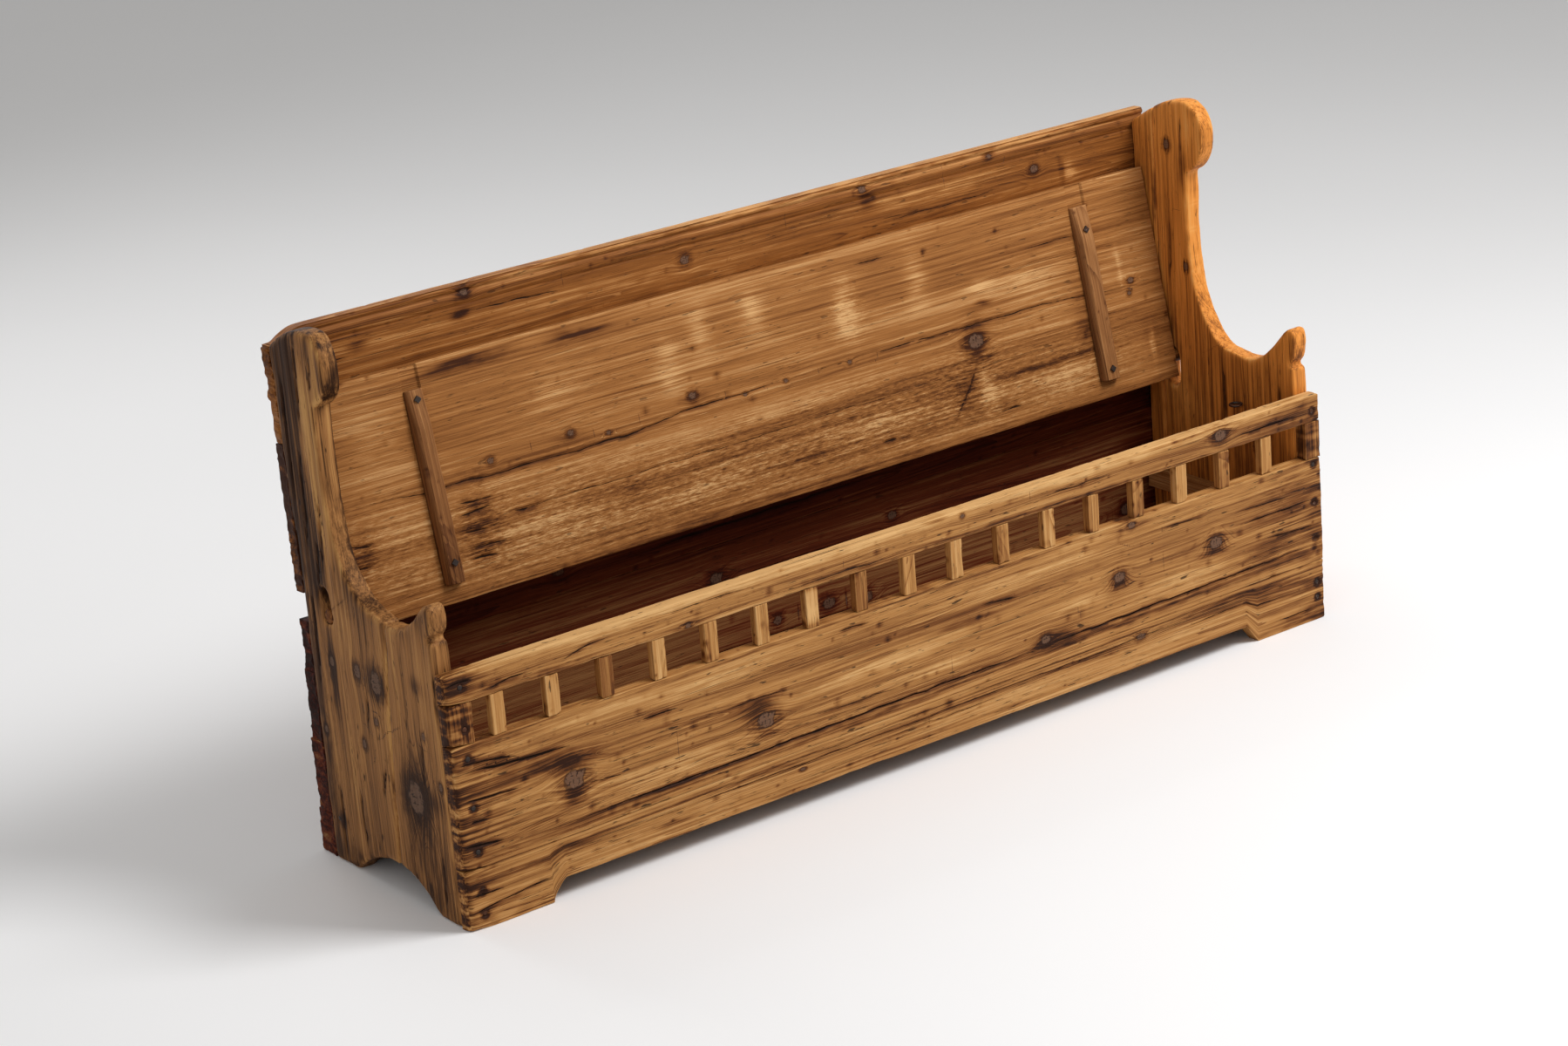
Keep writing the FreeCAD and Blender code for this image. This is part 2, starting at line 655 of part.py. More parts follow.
# Front apron with a foot at each end
apron = new_body("apron_blank")
left_foot = left_x + left_foot_width
right_foot = right_x - right_foot_width
apron_edges = [
    Part.LineSegment(vec(left_x, 0, 0), vec(left_x, joint_left, 0)),
    Part.LineSegment(vec(left_x, joint_left, 0), vec(right_x, joint_right, 0)),
    Part.LineSegment(vec(right_x, joint_right, 0), vec(right_x, 0, 0)),
    Part.LineSegment(vec(right_x, 0, 0), vec(right_foot, 0, 0)),
    Part.LineSegment(vec(right_foot, 0, 0),
                     vec(right_foot - foot_flare, right_opening_height, 0)),
    Part.LineSegment(vec(right_foot - foot_flare, right_opening_height, 0),
                     vec(left_foot + foot_flare, left_opening_height, 0)),
    Part.Arc(vec(left_foot + foot_flare, left_opening_height, 0),
             vec(left_foot + foot_curve, foot_curve_height, 0), vec(left_foot, 0, 0)),
    Part.LineSegment(vec(left_foot, 0, 0), vec(left_x, 0, 0))]
pad(apron, sketch_on(apron, "XZ_Plane", "apron_outline", apron_edges), "front_thickness", True)
bind(apron, Placement__Base__y=FRONT_Y)
doc.recompute()
apron_spots = (
    front_spots(left_nail_x, apron_nails_left) + front_spots(right_nail_x, apron_nails_right))
keep(cut("front_apron", apron, bores(apron_spots, nail_length)), "front_apron")

plank = new_body("plank_blank")
plank_edges = polyline([
    (left_x, joint_left), (right_x, joint_right), (right_x, plank_top), (left_x, plank_top)])
pad(plank, sketch_on(plank, "XZ_Plane", "plank_outline", plank_edges), "front_thickness", True)
bind(plank, Placement__Base__y=FRONT_Y)
doc.recompute()
plank_spots = (
    front_spots(left_nail_x, plank_nails_left) + front_spots(right_nail_x, plank_nails_right))
keep(cut("front_plank", plank, bores(plank_spots, nail_length)), "front_plank")

# Gallery: a block at each end, balusters between them and the top rail over all
GALLERY_Z = "apron_height + plank_height"
BALUSTER_PITCH = "((bench_length - first_baluster_offset - last_baluster_offset) / %d)" % (
    BALUSTERS - 1)
left_block = block("left_block_blank", LEFT_X, FRONT_Y, GALLERY_Z,
                   "left_block_width", "front_thickness", "gallery_height")
keep(cut("gallery_block_left", left_block,
         bores(front_spots(left_nail_x, block_nails_left), nail_length)), "gallery_block_left")
keep(block("gallery_block_right", "bench_length / 2 - panel_thickness", FRONT_Y, GALLERY_Z,
           "panel_thickness", "front_thickness", "gallery_height"), "gallery_block_right")
for number in range(BALUSTERS):
    name = "gallery_baluster_%02d" % (number + 1)
    keep(block(
        name,
        LEFT_X + " + first_baluster_offset - baluster_width / 2 + %d * " % number
        + BALUSTER_PITCH,
        FRONT_Y + " + baluster_setback", GALLERY_Z,
        "baluster_width", "baluster_thickness", "gallery_height"), name)
rail = block("rail_blank", LEFT_X, FRONT_Y, GALLERY_Z + " + gallery_height",
             "bench_length", "front_thickness", "rail_height")
rail_spots = (
    front_spots(left_nail_x, rail_nails_left) + front_spots(right_nail_x, rail_nails_right))
keep(cut("front_top_rail", rail, bores(rail_spots, nail_length)), "front_top_rail")

# Lid: made closed about its own pivot line, then swung back onto the back boards
slope = math.tan(back_lean)
along = lid_reach + slope * lid_thickness / 2
offset = lid_thickness / 2 - slope * lid_reach
room = (rear_y + slope * (pivot_z - back_bend_height) - pivot_y
        - lid_rest_gap / math.cos(back_lean))
lid_lean = math.degrees(math.asin(room / math.hypot(along, offset)) - math.atan2(offset, along))
lid_place = FreeCAD.Placement(
    vec(0, pivot_y, pivot_z), FreeCAD.Rotation(X_AXIS, -90 - lid_lean))
lid_half = length / 2 - panel_thickness - lid_end_gap
under = -lid_thickness / 2
left_batten_x = left_x + left_batten_offset
right_batten_x = right_x - right_batten_offset
batten_front = -(pivot_depth - front_thickness - batten_rail_gap)
batten_low = under + groove_depth - batten_thickness


def groove(centre, width):
    """A cross groove for a batten, from its tail to the lid's front edge."""
    return Part.makeBox(
        width, batten_tail + lid_reach + 1, groove_depth + 1,
        vec(centre - width / 2, -lid_reach - 1, under - 1))


def square_nail(reach):
    """A nail with a square head set cornerwise."""
    head = Part.makeBox(
        batten_nail_side, batten_nail_side, batten_nail_head,
        vec(-batten_nail_side / 2, -batten_nail_side / 2, 0))
    head.rotate(vec(0, 0, 0), Z_AXIS, 45)
    shank = Part.makeCylinder(nail_radius, reach, vec(0, 0, 0), vec(0, 0, -1))
    return head.fuse(shank)


def batten_spots(centre, rear, front):
    """The two nails of a batten, at distances in front of the pivot line."""
    tapered = front - (-batten_front - batten_taper_length)
    drop = max(0.0, tapered) / batten_taper_length * batten_taper
    return [vec(centre, -rear, batten_low), vec(centre, -front, batten_low + drop)]


batten_nail_spots = (
    batten_spots(left_batten_x, left_batten_rear_nail, left_batten_front_nail)
    + batten_spots(right_batten_x, right_batten_rear_nail, right_batten_front_nail))
square_form = square_nail(batten_nail_length)
batten_nails = doc.addObject("Part::Feature", "batten_nails")
batten_nails.Shape = Part.makeCompound(
    [driven(square_form, spot, Z_AXIS) for spot in batten_nail_spots])
batten_nails.Placement = lid_place
keep(batten_nails, "batten_nails")
bore_root = Part.makeCylinder(
    nail_radius + nail_bore_clearance, batten_nail_length + 2, vec(0, 0, 1), vec(0, 0, -1))
seat_side = batten_nail_side + 4 * nail_bore_clearance
head_seat = Part.makeBox(
    seat_side, seat_side, batten_taper + batten_nail_head,
    vec(-seat_side / 2, -seat_side / 2, 0))
head_seat.rotate(vec(0, 0, 0), Z_AXIS, 45)
square_bore = head_seat.fuse(bore_root)
batten_bores = [driven(square_bore, spot, Z_AXIS) for spot in batten_nail_spots]
lid_tools = batten_bores + [
    groove(left_batten_x, left_batten_width), groove(right_batten_x, right_batten_width)]

# The lid's board carries the tenons and has rounded rear corners
lid_blank = new_body("lid_blank")
corner = lid_corner_radius
bulge = corner * (1 - math.sqrt(0.5))
lid_edges = [
    Part.LineSegment(vec(-lid_half, -lid_reach, 0), vec(lid_half, -lid_reach, 0)),
    Part.LineSegment(vec(lid_half, -lid_reach, 0), vec(lid_half, lid_tail - corner, 0)),
    Part.Arc(vec(lid_half, lid_tail - corner, 0), vec(lid_half - bulge, lid_tail - bulge, 0),
             vec(lid_half - corner, lid_tail, 0)),
    Part.LineSegment(vec(lid_half - corner, lid_tail, 0), vec(corner - lid_half, lid_tail, 0)),
    Part.Arc(vec(corner - lid_half, lid_tail, 0), vec(bulge - lid_half, lid_tail - bulge, 0),
             vec(-lid_half, lid_tail - corner, 0)),
    Part.LineSegment(vec(-lid_half, lid_tail - corner, 0), vec(-lid_half, -lid_reach, 0))]
pad(lid_blank, sketch_on(lid_blank, "XY_Plane", "lid_outline", lid_edges), "lid_thickness")
bind(lid_blank, Placement__Base__z="-lid_thickness / 2")
tenon_sink = 2 * lid_thickness
tenons = []
for side, turn in (("left", -90), ("right", 90)):
    tenon = doc.addObject("Part::Cylinder", "tenon_" + side)
    bind(tenon, Radius="tenon_diameter / 2",
         Height="panel_thickness + lid_end_gap - tenon_recess + 2 * lid_thickness")
    start = lid_half - tenon_sink if side == "right" else tenon_sink - lid_half
    tenon.Placement = FreeCAD.Placement(vec(start, 0, 0), FreeCAD.Rotation(Y_AXIS, turn))
    tenons.append(tenon)
tenoned = doc.addObject("Part::MultiFuse", "lid_tenoned")
tenoned.Shapes = [lid_blank] + tenons
lid_board = keep(cut("lid_board", tenoned, lid_tools), "lid_board")
lid_board.Placement = lid_place


def batten(name, centre, width, tools):
    """A lid batten: chamfered along its sides and tapered towards the lid's front."""
    body = new_body(name + "_blank")
    half = width / 2
    chamfer = batten_chamfer
    section = polyline([
        (-half, under + groove_depth), (half, under + groove_depth),
        (half, batten_low + chamfer), (half - chamfer, batten_low),
        (chamfer - half, batten_low), (-half, batten_low + chamfer)])
    pad(body, sketch_on(body, "XZ_Plane", name + "_section", section),
        "pivot_depth - front_thickness - batten_rail_gap + batten_tail")
    front_end = batten_front - batten_tail
    taper_start = front_end + batten_taper_length
    wedge = polyline([
        (taper_start, batten_low), (front_end, batten_low + batten_taper),
        (front_end, batten_low - 1), (taper_start, batten_low - 1)])
    before = body.Shape.Volume
    feature = body.newObject("PartDesign::Pocket", name + "_taper")
    feature.Profile = sketch_on(body, "YZ_Plane", name + "_wedge", wedge)
    feature.Midplane = True
    feature.Length = 2 * width
    body.Tip = feature
    doc.recompute()
    if body.Shape.Volume >= before:
        raise RuntimeError(name + " has no taper")
    body.Placement = FreeCAD.Placement(vec(centre, batten_tail, 0), FreeCAD.Rotation())
    doc.recompute()
    item = keep(cut(name, body, tools), name)
    item.Placement = lid_place
    return item


batten("lid_batten_left", left_batten_x, left_batten_width, batten_bores[:2])
batten("lid_batten_right", right_batten_x, right_batten_width, batten_bores[2:])

# Iron eye: a ring bent from the rod of its own shank
eye_middle_x = inner_right_x - eye_radius - eye_wire
ring = doc.addObject("Part::Torus", "eye_ring")
bind(ring, Radius1="eye_radius", Radius2="eye_wire")
ring.Placement = FreeCAD.Placement(
    vec(eye_middle_x, front_y + eye_depth, eye_height), FreeCAD.Rotation())
shank = doc.addObject("Part::Cylinder", "eye_shank")
bind(shank, Radius="eye_wire", Height="eye_shank_length + eye_wire")
shank.Placement = FreeCAD.Placement(
    vec(inner_right_x - eye_wire, front_y + eye_depth, eye_height),
    FreeCAD.Rotation(Y_AXIS, 90))
eye = doc.addObject("Part::Fuse", "iron_eye_fuse")
eye.Base = ring
eye.Tool = shank
keep(eye, "iron_eye")

doc.recompute()
print("lid lean %.3f degrees, pivot at y %.2f z %.2f" % (lid_lean, pivot_y, pivot_z))

# Every feature and every piece must be sound before anything is written
for item in doc.Objects:
    if "Invalid" in item.State or "Error" in item.State:
        raise RuntimeError("failed: " + item.Label)
for item in nodes:
    if item.Shape.isNull() or not item.Shape.isValid():
        raise RuntimeError("not sound: " + item.Label)

os.makedirs("parts", exist_ok=True)
for item in nodes:
    item.Shape.exportStep("parts/" + item.Label + ".step")
print(len(nodes), "pieces written")
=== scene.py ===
import json
import math

import bpy
import numpy as np
from bpy.props import FloatProperty, FloatVectorProperty, PointerProperty
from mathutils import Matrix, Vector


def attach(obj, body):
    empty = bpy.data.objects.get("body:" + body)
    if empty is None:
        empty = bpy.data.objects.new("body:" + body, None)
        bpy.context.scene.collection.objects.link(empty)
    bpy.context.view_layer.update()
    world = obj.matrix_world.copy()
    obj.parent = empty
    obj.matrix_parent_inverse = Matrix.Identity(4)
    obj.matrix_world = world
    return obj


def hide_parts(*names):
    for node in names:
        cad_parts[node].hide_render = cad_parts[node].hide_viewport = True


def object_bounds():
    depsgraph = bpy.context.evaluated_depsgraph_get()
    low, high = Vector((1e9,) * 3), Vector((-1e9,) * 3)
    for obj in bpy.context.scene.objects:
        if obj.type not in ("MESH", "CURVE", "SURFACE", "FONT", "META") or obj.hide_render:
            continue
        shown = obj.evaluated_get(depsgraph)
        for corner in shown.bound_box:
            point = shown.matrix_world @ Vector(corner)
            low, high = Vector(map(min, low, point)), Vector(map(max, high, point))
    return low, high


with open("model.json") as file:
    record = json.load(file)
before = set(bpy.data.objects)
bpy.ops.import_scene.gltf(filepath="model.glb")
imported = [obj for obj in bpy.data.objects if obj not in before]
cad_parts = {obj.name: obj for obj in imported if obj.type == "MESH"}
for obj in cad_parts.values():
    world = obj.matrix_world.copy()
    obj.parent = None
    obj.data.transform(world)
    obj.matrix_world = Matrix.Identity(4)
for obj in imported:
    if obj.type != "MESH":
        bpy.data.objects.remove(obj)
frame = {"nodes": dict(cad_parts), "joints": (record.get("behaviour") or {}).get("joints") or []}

bl_info = {
    "name": "Settle Bench",
    "version": (1, 0, 0),
    "blender": (4, 5, 0),
    "location": "View3D > Sidebar > Settle",
    "description": "Dresses a plank settle bench in worn old pine and forged iron",
    "category": "Object",
}

CAD_LOW, CAD_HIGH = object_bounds()
LID_JOINT = frame["joints"][0]
LID_LEAN = math.radians(LID_JOINT["range_deg"][1] - 90)
MM = 0.001
BACK_RUN = 17
BACK_RISE = 421
BACK_LEAN = math.atan2(BACK_RUN * MM, BACK_RISE * MM)

# The photograph's own viewpoint, found from the bench's edges
PHOTO_WIDTH = 1799
FOCAL_PIXELS = 4301.8
CAMERA_PLACE = (-3.4673, -4.7577, 2.4095)
CAMERA_TURN = (70.8652, 4.3885, -36.8097)

# Front, in millimetres: feet and the opening between them, and the sloping joint above it
LEFT_FOOT = 153
RIGHT_FOOT = 162
FOOT_FLARE = 26
OPENING_LEFT = 35
OPENING_RIGHT = 34
JOINT_LEFT = 99
JOINT_RIGHT = 110

# Top board: beads as (distance below the top, height, shoulder), grooves below them
BEADS = ((0.0, 12.0, 4.0), (14.5, 18.0, 3.0))
GROOVES = (12.0, 32.5)
GROOVE_DEPTH = 4.2

# How a piece's own directions lie for each run of its grain: along, across and into the board
ORDERS = {"X": (0, 2, 1), "F": (0, 1, 2), "Z": (2, 1, 0), "Y": (1, 2, 0)}
STRETCHES = {"X": (4, 1, 1), "F": (4, 1, 1), "Y": (1, 4, 1), "Z": (1, 1, 4)}


# Sizes and colours that a user may change

def length(words, note, value):
    """A length that the sidebar shows in the scene's own unit."""
    return FloatProperty(name=words, description=note, default=value, unit="LENGTH")


def paint(words, note, red, green, blue):
    """A colour written as it is seen, from 0 to 255, and kept as light."""
    seen = np.array((red, green, blue)) / 255
    light = np.where(seen <= 0.04045, seen / 12.92, ((seen + 0.055) / 1.055) ** 2.4)
    return FloatVectorProperty(
        name=words, description=note, subtype="COLOR", size=3, min=0, max=1,
        default=tuple(float(part) for part in light))


class SettleWear(bpy.types.PropertyGroup):
    """How far the years have worn the wood."""
    arris: length("Arris", "Usual rounding of a board's edges", 2.2 * MM)
    corner: length("Corner", "Rounding of the front corner at the left end", 11 * MM)
    dent: length("Dent", "Depth of the deepest dents", 1.3 * MM)
    wave: length("Wave", "How far a hand-planed face wanders", 0.7 * MM)
    hollow: length("Nail hollow", "Depth of the hollow round a nail's head", 2.6 * MM)


# Each wood's tones as they are seen, from its deepest to its lightest, and where it is used
WOODS = {
    "front": ("front", (46, 21, 7), (118, 70, 32), (178, 126, 70), (214, 168, 110)),
    "side": ("left side panel", (44, 22, 6), (88, 55, 27), (154, 105, 59), (196, 146, 86)),
    "right": ("right side panel", (66, 30, 9), (146, 86, 36), (224, 142, 62), (234, 168, 92)),
    "back": ("high back", (50, 21, 5), (102, 56, 20), (143, 87, 37), (208, 152, 92)),
    "lid": ("lid", (60, 28, 8), (116, 68, 29), (164, 108, 56), (218, 170, 114)),
    "batten": ("battens", (44, 22, 10), (92, 53, 27), (138, 90, 50), (184, 132, 82)),
    # The inside's tones are darkened to near-black: painted shade of the box's interior.
    "inner": ("inside of the box", (30, 7, 2), (66, 20, 7), (100, 44, 20), (148, 104, 62))}
TONES = {"_deep": "Deepest", "_dark": "Dark", "": "Usual", "_light": "Lightest"}


class SettleColours(bpy.types.PropertyGroup):
    """The colours of the iron, the dirt and the floor, and four tones of each wood."""
    pore: paint("Pore", "Dirt in pores, cracks and dents", 26, 13, 6)
    knot: paint("Knot", "Middle of a knot", 108, 82, 66)
    knot_rim: paint("Knot rim", "Bark ring round a knot", 34, 17, 8)
    iron: paint("Iron", "Forged nails", 52, 44, 40)
    iron_pale: paint("Rubbed iron", "Bright wear on the iron", 158, 150, 142)
    rust: paint("Rust", "Brown rust on the iron", 78, 46, 28)
    floor: paint("Floor", "Plain studio floor", 250, 250, 251)
    for wood, (place, *tones) in WOODS.items():
        for (part, word), tone in zip(TONES.items(), tones):
            __annotations__[wood + part] = paint(
                wood.title() + " " + word.lower(), word + " tone of the " + place, *tone)
    del wood, place, tones, part, word, tone


def wear():
    """The wear sizes now set."""
    return bpy.context.scene.settle_wear


def colour(name):
    """One of the colours now set, with full alpha."""
    return tuple(getattr(bpy.context.scene.settle_colours, name)) + (1.0,)


# Fields of noise, worked out on whole arrays

def lattice_hash(cells, seed):
    """A number from 0 to 1 for each cell: products of its three counts, mixed by shifts."""
    mixed = (cells[..., 0] * 374761393 + cells[..., 1] * 668265263
             + cells[..., 2] * 2147483647 + seed * 974634777)
    mixed = (mixed ^ (mixed >> 13)) * 1274126177
    mixed = mixed ^ (mixed >> 16)
    return (mixed & 0xFFFFFF) / float(0xFFFFFF)


def noise(points, size, seed=0):
    """Smooth noise from 0 to 1: the hash at a cell's eight corners, blended by 3t^2 - 2t^3."""
    scaled = np.asarray(points) / np.asarray(size)
    cell = np.floor(scaled).astype(np.int64)
    part = scaled - cell
    ease = part * part * (3 - 2 * part)
    total = np.zeros(scaled.shape[:-1])
    for corner in np.ndindex(2, 2, 2):
        share = np.prod(np.where(np.array(corner) == 1, ease, 1 - ease), axis=-1)
        total += share * lattice_hash(cell + np.array(corner), seed)
    return total


def rough_noise(points, size, seed=0):
    """Three layers of noise, each half as large and half as strong as the one before."""
    layers = [noise(points, np.asarray(size) / 2 ** k, seed + 17 * k) / 2 ** k for k in range(3)]
    return sum(layers) / 1.75


def step_up(value, low, high):
    """0 below low, 1 above high, and a smooth rise between."""
    part = np.clip((value - low) / (high - low), 0, 1)
    return part * part * (3 - 2 * part)


# Meshes

def new_piece(name, points, faces, body, node_names, material, fields=None, lean=None):
    """One mesh piece with its attributes, riding a body and standing for its CAD nodes."""
    mesh = bpy.data.meshes.new(name)
    if lean is not None:
        points = leaned(points, lean)
    mesh.from_pydata(np.asarray(points).tolist(), [], np.asarray(faces).tolist())
    for label, values in (fields or {}).items():
        values = np.asarray(values, dtype=np.float32)
        kind = "FLOAT_VECTOR" if values.ndim == 2 else "FLOAT"
        layer = mesh.attributes.new(label, kind, "POINT")
        layer.data.foreach_set("vector" if values.ndim == 2 else "value", values.ravel())
    mesh.polygons.foreach_set("use_smooth", np.ones(len(mesh.polygons), dtype=bool))
    mesh.materials.append(material)
    mesh.update()
    piece = bpy.data.objects.new(name, mesh)
    bpy.context.scene.collection.objects.link(piece)
    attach(piece, body)
    if node_names:
        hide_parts(*node_names)
    return piece


def leaned(points, lean):
    """Points turned about X, so that upright boards lean back by an angle."""
    cosine, sine = math.cos(lean), math.sin(lean)
    x, y, z = np.asarray(points).T
    return np.stack([x, cosine * y + sine * z, cosine * z - sine * y], axis=1)


def node_points(node):
    """The vertices of a CAD node, as an array."""
    mesh = frame["nodes"][node].data
    flat = np.empty(len(mesh.vertices) * 3)
    mesh.vertices.foreach_get("co", flat)
    return flat.reshape(-1, 3)


def upright_box(node, lean=0.0):
    """Lowest and highest corner of a node once it is turned upright."""
    points = leaned(node_points(node), -lean)
    return points.min(axis=0), points.max(axis=0)


def crowded(low, high, step, extra=()):
    """Places from low to high: close at both ends, evenly spread between, and at extras."""
    near = np.array((0.0, 0.7, 1.7, 3.2, 5.4, 8.6, 12.5)) * MM
    near = near[near < 0.42 * (high - low)]
    inner = np.arange(low + near[-1] + step, high - near[-1] - step * 0.4, step)
    places = np.concatenate([low + near, inner, high - near, np.asarray(extra, dtype=float)])
    places = np.unique(np.round(np.clip(places, low, high), 6))
    keep = np.concatenate([[True], np.diff(places) > 0.25 * MM])
    return places[keep]


def box_lattice(xs, ys, zs):
    """The skin of a grid of places: its points, which are (xs, ys, zs), and outward quads."""
    counts = (len(xs), len(ys), len(zs))
    ids = np.arange(np.prod(counts)).reshape(counts)

    def sheet(grid, flip):
        """Quads over one face of the grid."""
        ring = [grid[:-1, :-1], grid[1:, :-1], grid[1:, 1:], grid[:-1, 1:]]
        quads = np.stack(ring, axis=-1).reshape(-1, 4)
        return quads[:, ::-1] if flip else quads

    quads = np.concatenate([
        sheet(ids[:, :, 0], True), sheet(ids[:, :, -1], False),
        sheet(ids[:, 0, :], False), sheet(ids[:, -1, :], True),
        sheet(ids[0, :, :], True), sheet(ids[-1, :, :], False)])
    used = np.unique(quads)
    i, j, k = np.unravel_index(used, counts)
    return np.stack([xs[i], ys[j], zs[k]], axis=1), np.searchsorted(used, quads)


def round_edges(points, low, high, radius):
    """Each point is pulled onto a ball of the wear radius round the box shrunk by that radius.

    Returns the new points and the way out of the wood at each of them.
    """
    radius = np.minimum(radius, 0.49 * (high - low).min())[:, None]
    inner = np.clip(points, low + radius, high - radius)
    out = points - inner
    reach = np.linalg.norm(out, axis=1, keepdims=True)
    way = out / np.maximum(reach, 1e-9)
    return inner + way * np.minimum(reach, radius), way


def dented(points, way, centres, radii, depths):
    """Each dent presses the skin in by depth times (1 - (distance / radius)^2) squared."""
    press = np.zeros(len(points))
    for centre, radius, depth in zip(centres, radii, depths):
        near = 1 - ((points - centre) ** 2).sum(axis=1) / radius ** 2
        press = np.maximum(press, depth * np.clip(near, 0, None) ** 2)
    return points - way * press[:, None], press


def nail_places(node):
    """The middle of each nail's head: vertices near each other in a node, taken group by group."""
    points = node_points(node)
    places = []
    while len(points):
        near = np.linalg.norm((points - points[0])[:, [0, 2]], axis=1) < 14 * MM
        near &= abs(points[:, 1] - points[0, 1]) < 70 * MM
        group = points[near]
        places.append((group.min(axis=0) + group.max(axis=0)) / 2)
        points = points[~near]
    return places


# Wood: where each point lies in the board that it was sawn from

def marks(knots=(), splits=(), dark=(), pale=(), rough=()):
    """What the years left on one board, with some painted highlights and painted shade, in
    millimetres along and across it.

    knots are (along, across, radius). splits are (path, width, depth), where a path is a row of
    (along, across). dark, pale and rough are soft spots (along, across, reach, reach, strength).
    """
    return {"knots": knots, "splits": splits, "dark": dark, "pale": pale, "rough": rough}


def placed(kept, base, upright=False):
    """Marks moved from a base line to the bench's frame; upright ones run up the board."""
    def move(spots):
        """Each place with the base added across the grain."""
        return [((spot[1], base + spot[0]) if upright else (spot[0], base + spot[1]))
                + tuple(spot[2:]) for spot in spots]
    moved = {kind: move(kept[kind]) for kind in ("knots", "dark", "pale", "rough")}
    moved["splits"] = [(move(path), width, depth) for path, width, depth in kept["splits"]]
    return moved


def spots_at(board, spots, seed):
    """The sum of soft spots: strength times exp(-(da / ra)^2 - (db / rb)^2), with ragged edges."""
    total = np.zeros(len(board))
    if len(spots) == 0:
        return total
    flat = board * (1, 1, 0)
    ragged = rough_noise(flat, (26 * MM, 7 * MM, 1), seed)
    bent = flat + (rough_noise(flat, (40 * MM, 30 * MM, 1), seed + 1)[:, None] - 0.5) * 12 * MM
    for along, across, reach, tall, strength in spots:
        near = ((bent[:, 0] - along * MM) / (reach * MM)) ** 2
        near += ((bent[:, 1] - across * MM) / (tall * MM)) ** 2
        total += strength * np.exp(-near)
    return total * (0.35 + 1.3 * ragged)


def splits_at(board, splits, seed):
    """The signed distance to the nearest split and the split's half width, both in millimetres.

    A split wanders about its path by noise and closes towards its two ends. Away from every
    split the half width is -3, so that nothing shows.
    """
    away = np.full(len(board), 9.0)
    half = np.full(len(board), -3.0)
    deep = np.zeros(len(board))
    best = np.full(len(board), 12.0)
    for number, (path, width, depth) in enumerate(splits):
        stations, heights = np.array(path, dtype=float).T
        order = np.argsort(stations)
        stations, heights = stations[order], heights[order]
        along = board[:, 0] / MM
        here = np.stack([along, np.full(len(board), 31.0 * number), np.zeros(len(board))], 1)
        wander = (noise(here, (34, 1, 1), seed) - 0.5) * 3.4 + (noise(here, (9, 1, 1), seed) - 0.5)
        distance = board[:, 1] / MM - np.interp(along, stations, heights) - wander
        inside = np.minimum(along - stations[0], stations[-1] - along)
        closing = np.clip(inside / (0.25 * (stations[-1] - stations[0])), -1, 1)
        wide = 0.5 * width * closing * (0.45 + 1.1 * noise(here, (22, 1, 1), seed + 3))
        score = abs(distance) - np.clip(wide, -3, 3)
        nearer = score < best
        best = np.where(nearer, score, best)
        away = np.where(nearer, distance, away)
        half = np.where(nearer, wide, half)
        deep = np.where(nearer, depth * np.clip(closing, 0, 1), deep)
    return away, half, deep


def grain_fields(points, way, low, high, along, seed, tone, kept, pith):
    """The attributes that the wood materials read.

    grain_at is the place along, across and into the board. ring_at is the distance from the
    tree's pith, the root of (across squared + into squared), pushed out round each knot by
    exp(-(along / 2.4 r)^2 - (across / 1.7 r)^2). knot_at is the place from the nearest knot, in
    knot radii. pith is (place across in millimetres, depth behind the face, drift of both along
    the board). edge is 1 at a worn edge.
    """
    order = ORDERS[along]
    board = points[:, order]
    middle = ((low + high) / 2)[list(order)]
    start = low[list(order)]
    place, depth, drift, sink = pith
    run = board[:, 0] - middle[0]
    flat = board * (1, 1, 0)
    bend = (rough_noise(flat, (300 * MM, 60 * MM, 1), seed + 2) - 0.5) * 26 * MM
    across = board[:, 1] - place * MM - drift * run + bend
    behind = board[:, 2] - start[2] + depth * MM + sink * run
    ring_at = np.hypot(across, behind)
    shift = np.zeros(len(points))
    knot_at = np.full((len(points), 3), 9.0)
    closest = np.full(len(points), 1e9)
    for knot_a, knot_b, radius in kept["knots"]:
        size = radius * MM
        da = board[:, 0] - knot_a * MM
        db = board[:, 1] - knot_b * MM
        ring_at += 1.3 * size * np.exp(-(da / (2.4 * size)) ** 2 - (db / (1.7 * size)) ** 2)
        shift += np.sign(db) * size * np.exp(-(da / (2.2 * size)) ** 2 - abs(db) / (2 * size))
        away = np.hypot(da, db) / size
        nearer = away < closest
        closest = np.where(nearer, away, closest)
        here = np.stack([da / size, db / size, np.full_like(da, knot_a * 0.37)], axis=1)
        knot_at = np.where(nearer[:, None], here, knot_at)
    luck = np.random.default_rng(seed).uniform(-9, 9, 3)
    grain_at = board - middle + luck
    grain_at[:, 1] -= shift
    sharp = 1 - abs(way).max(axis=1)
    away, half, deep = splits_at(board, kept["splits"], seed)
    fields = {
        "grain_at": grain_at, "knot_at": np.clip(knot_at, -9, 9), "ring_at": ring_at,
        "edge": np.clip(sharp * 3.4, 0, 1), "tone": np.full(len(points), tone),
        "split_at": np.stack([away, half, deep], axis=1),
        "pale": np.clip(spots_at(board, kept["pale"], seed + 4), 0, 1),
        "rough": np.clip(spots_at(board, kept["rough"], seed + 6), 0, 1)}
    press = deep * np.clip(1 - abs(away) / (np.maximum(half, 0) + 1.1), 0, 1) * (half > 0.05)
    return fields, press * MM, spots_at(board, kept["dark"], seed + 5)


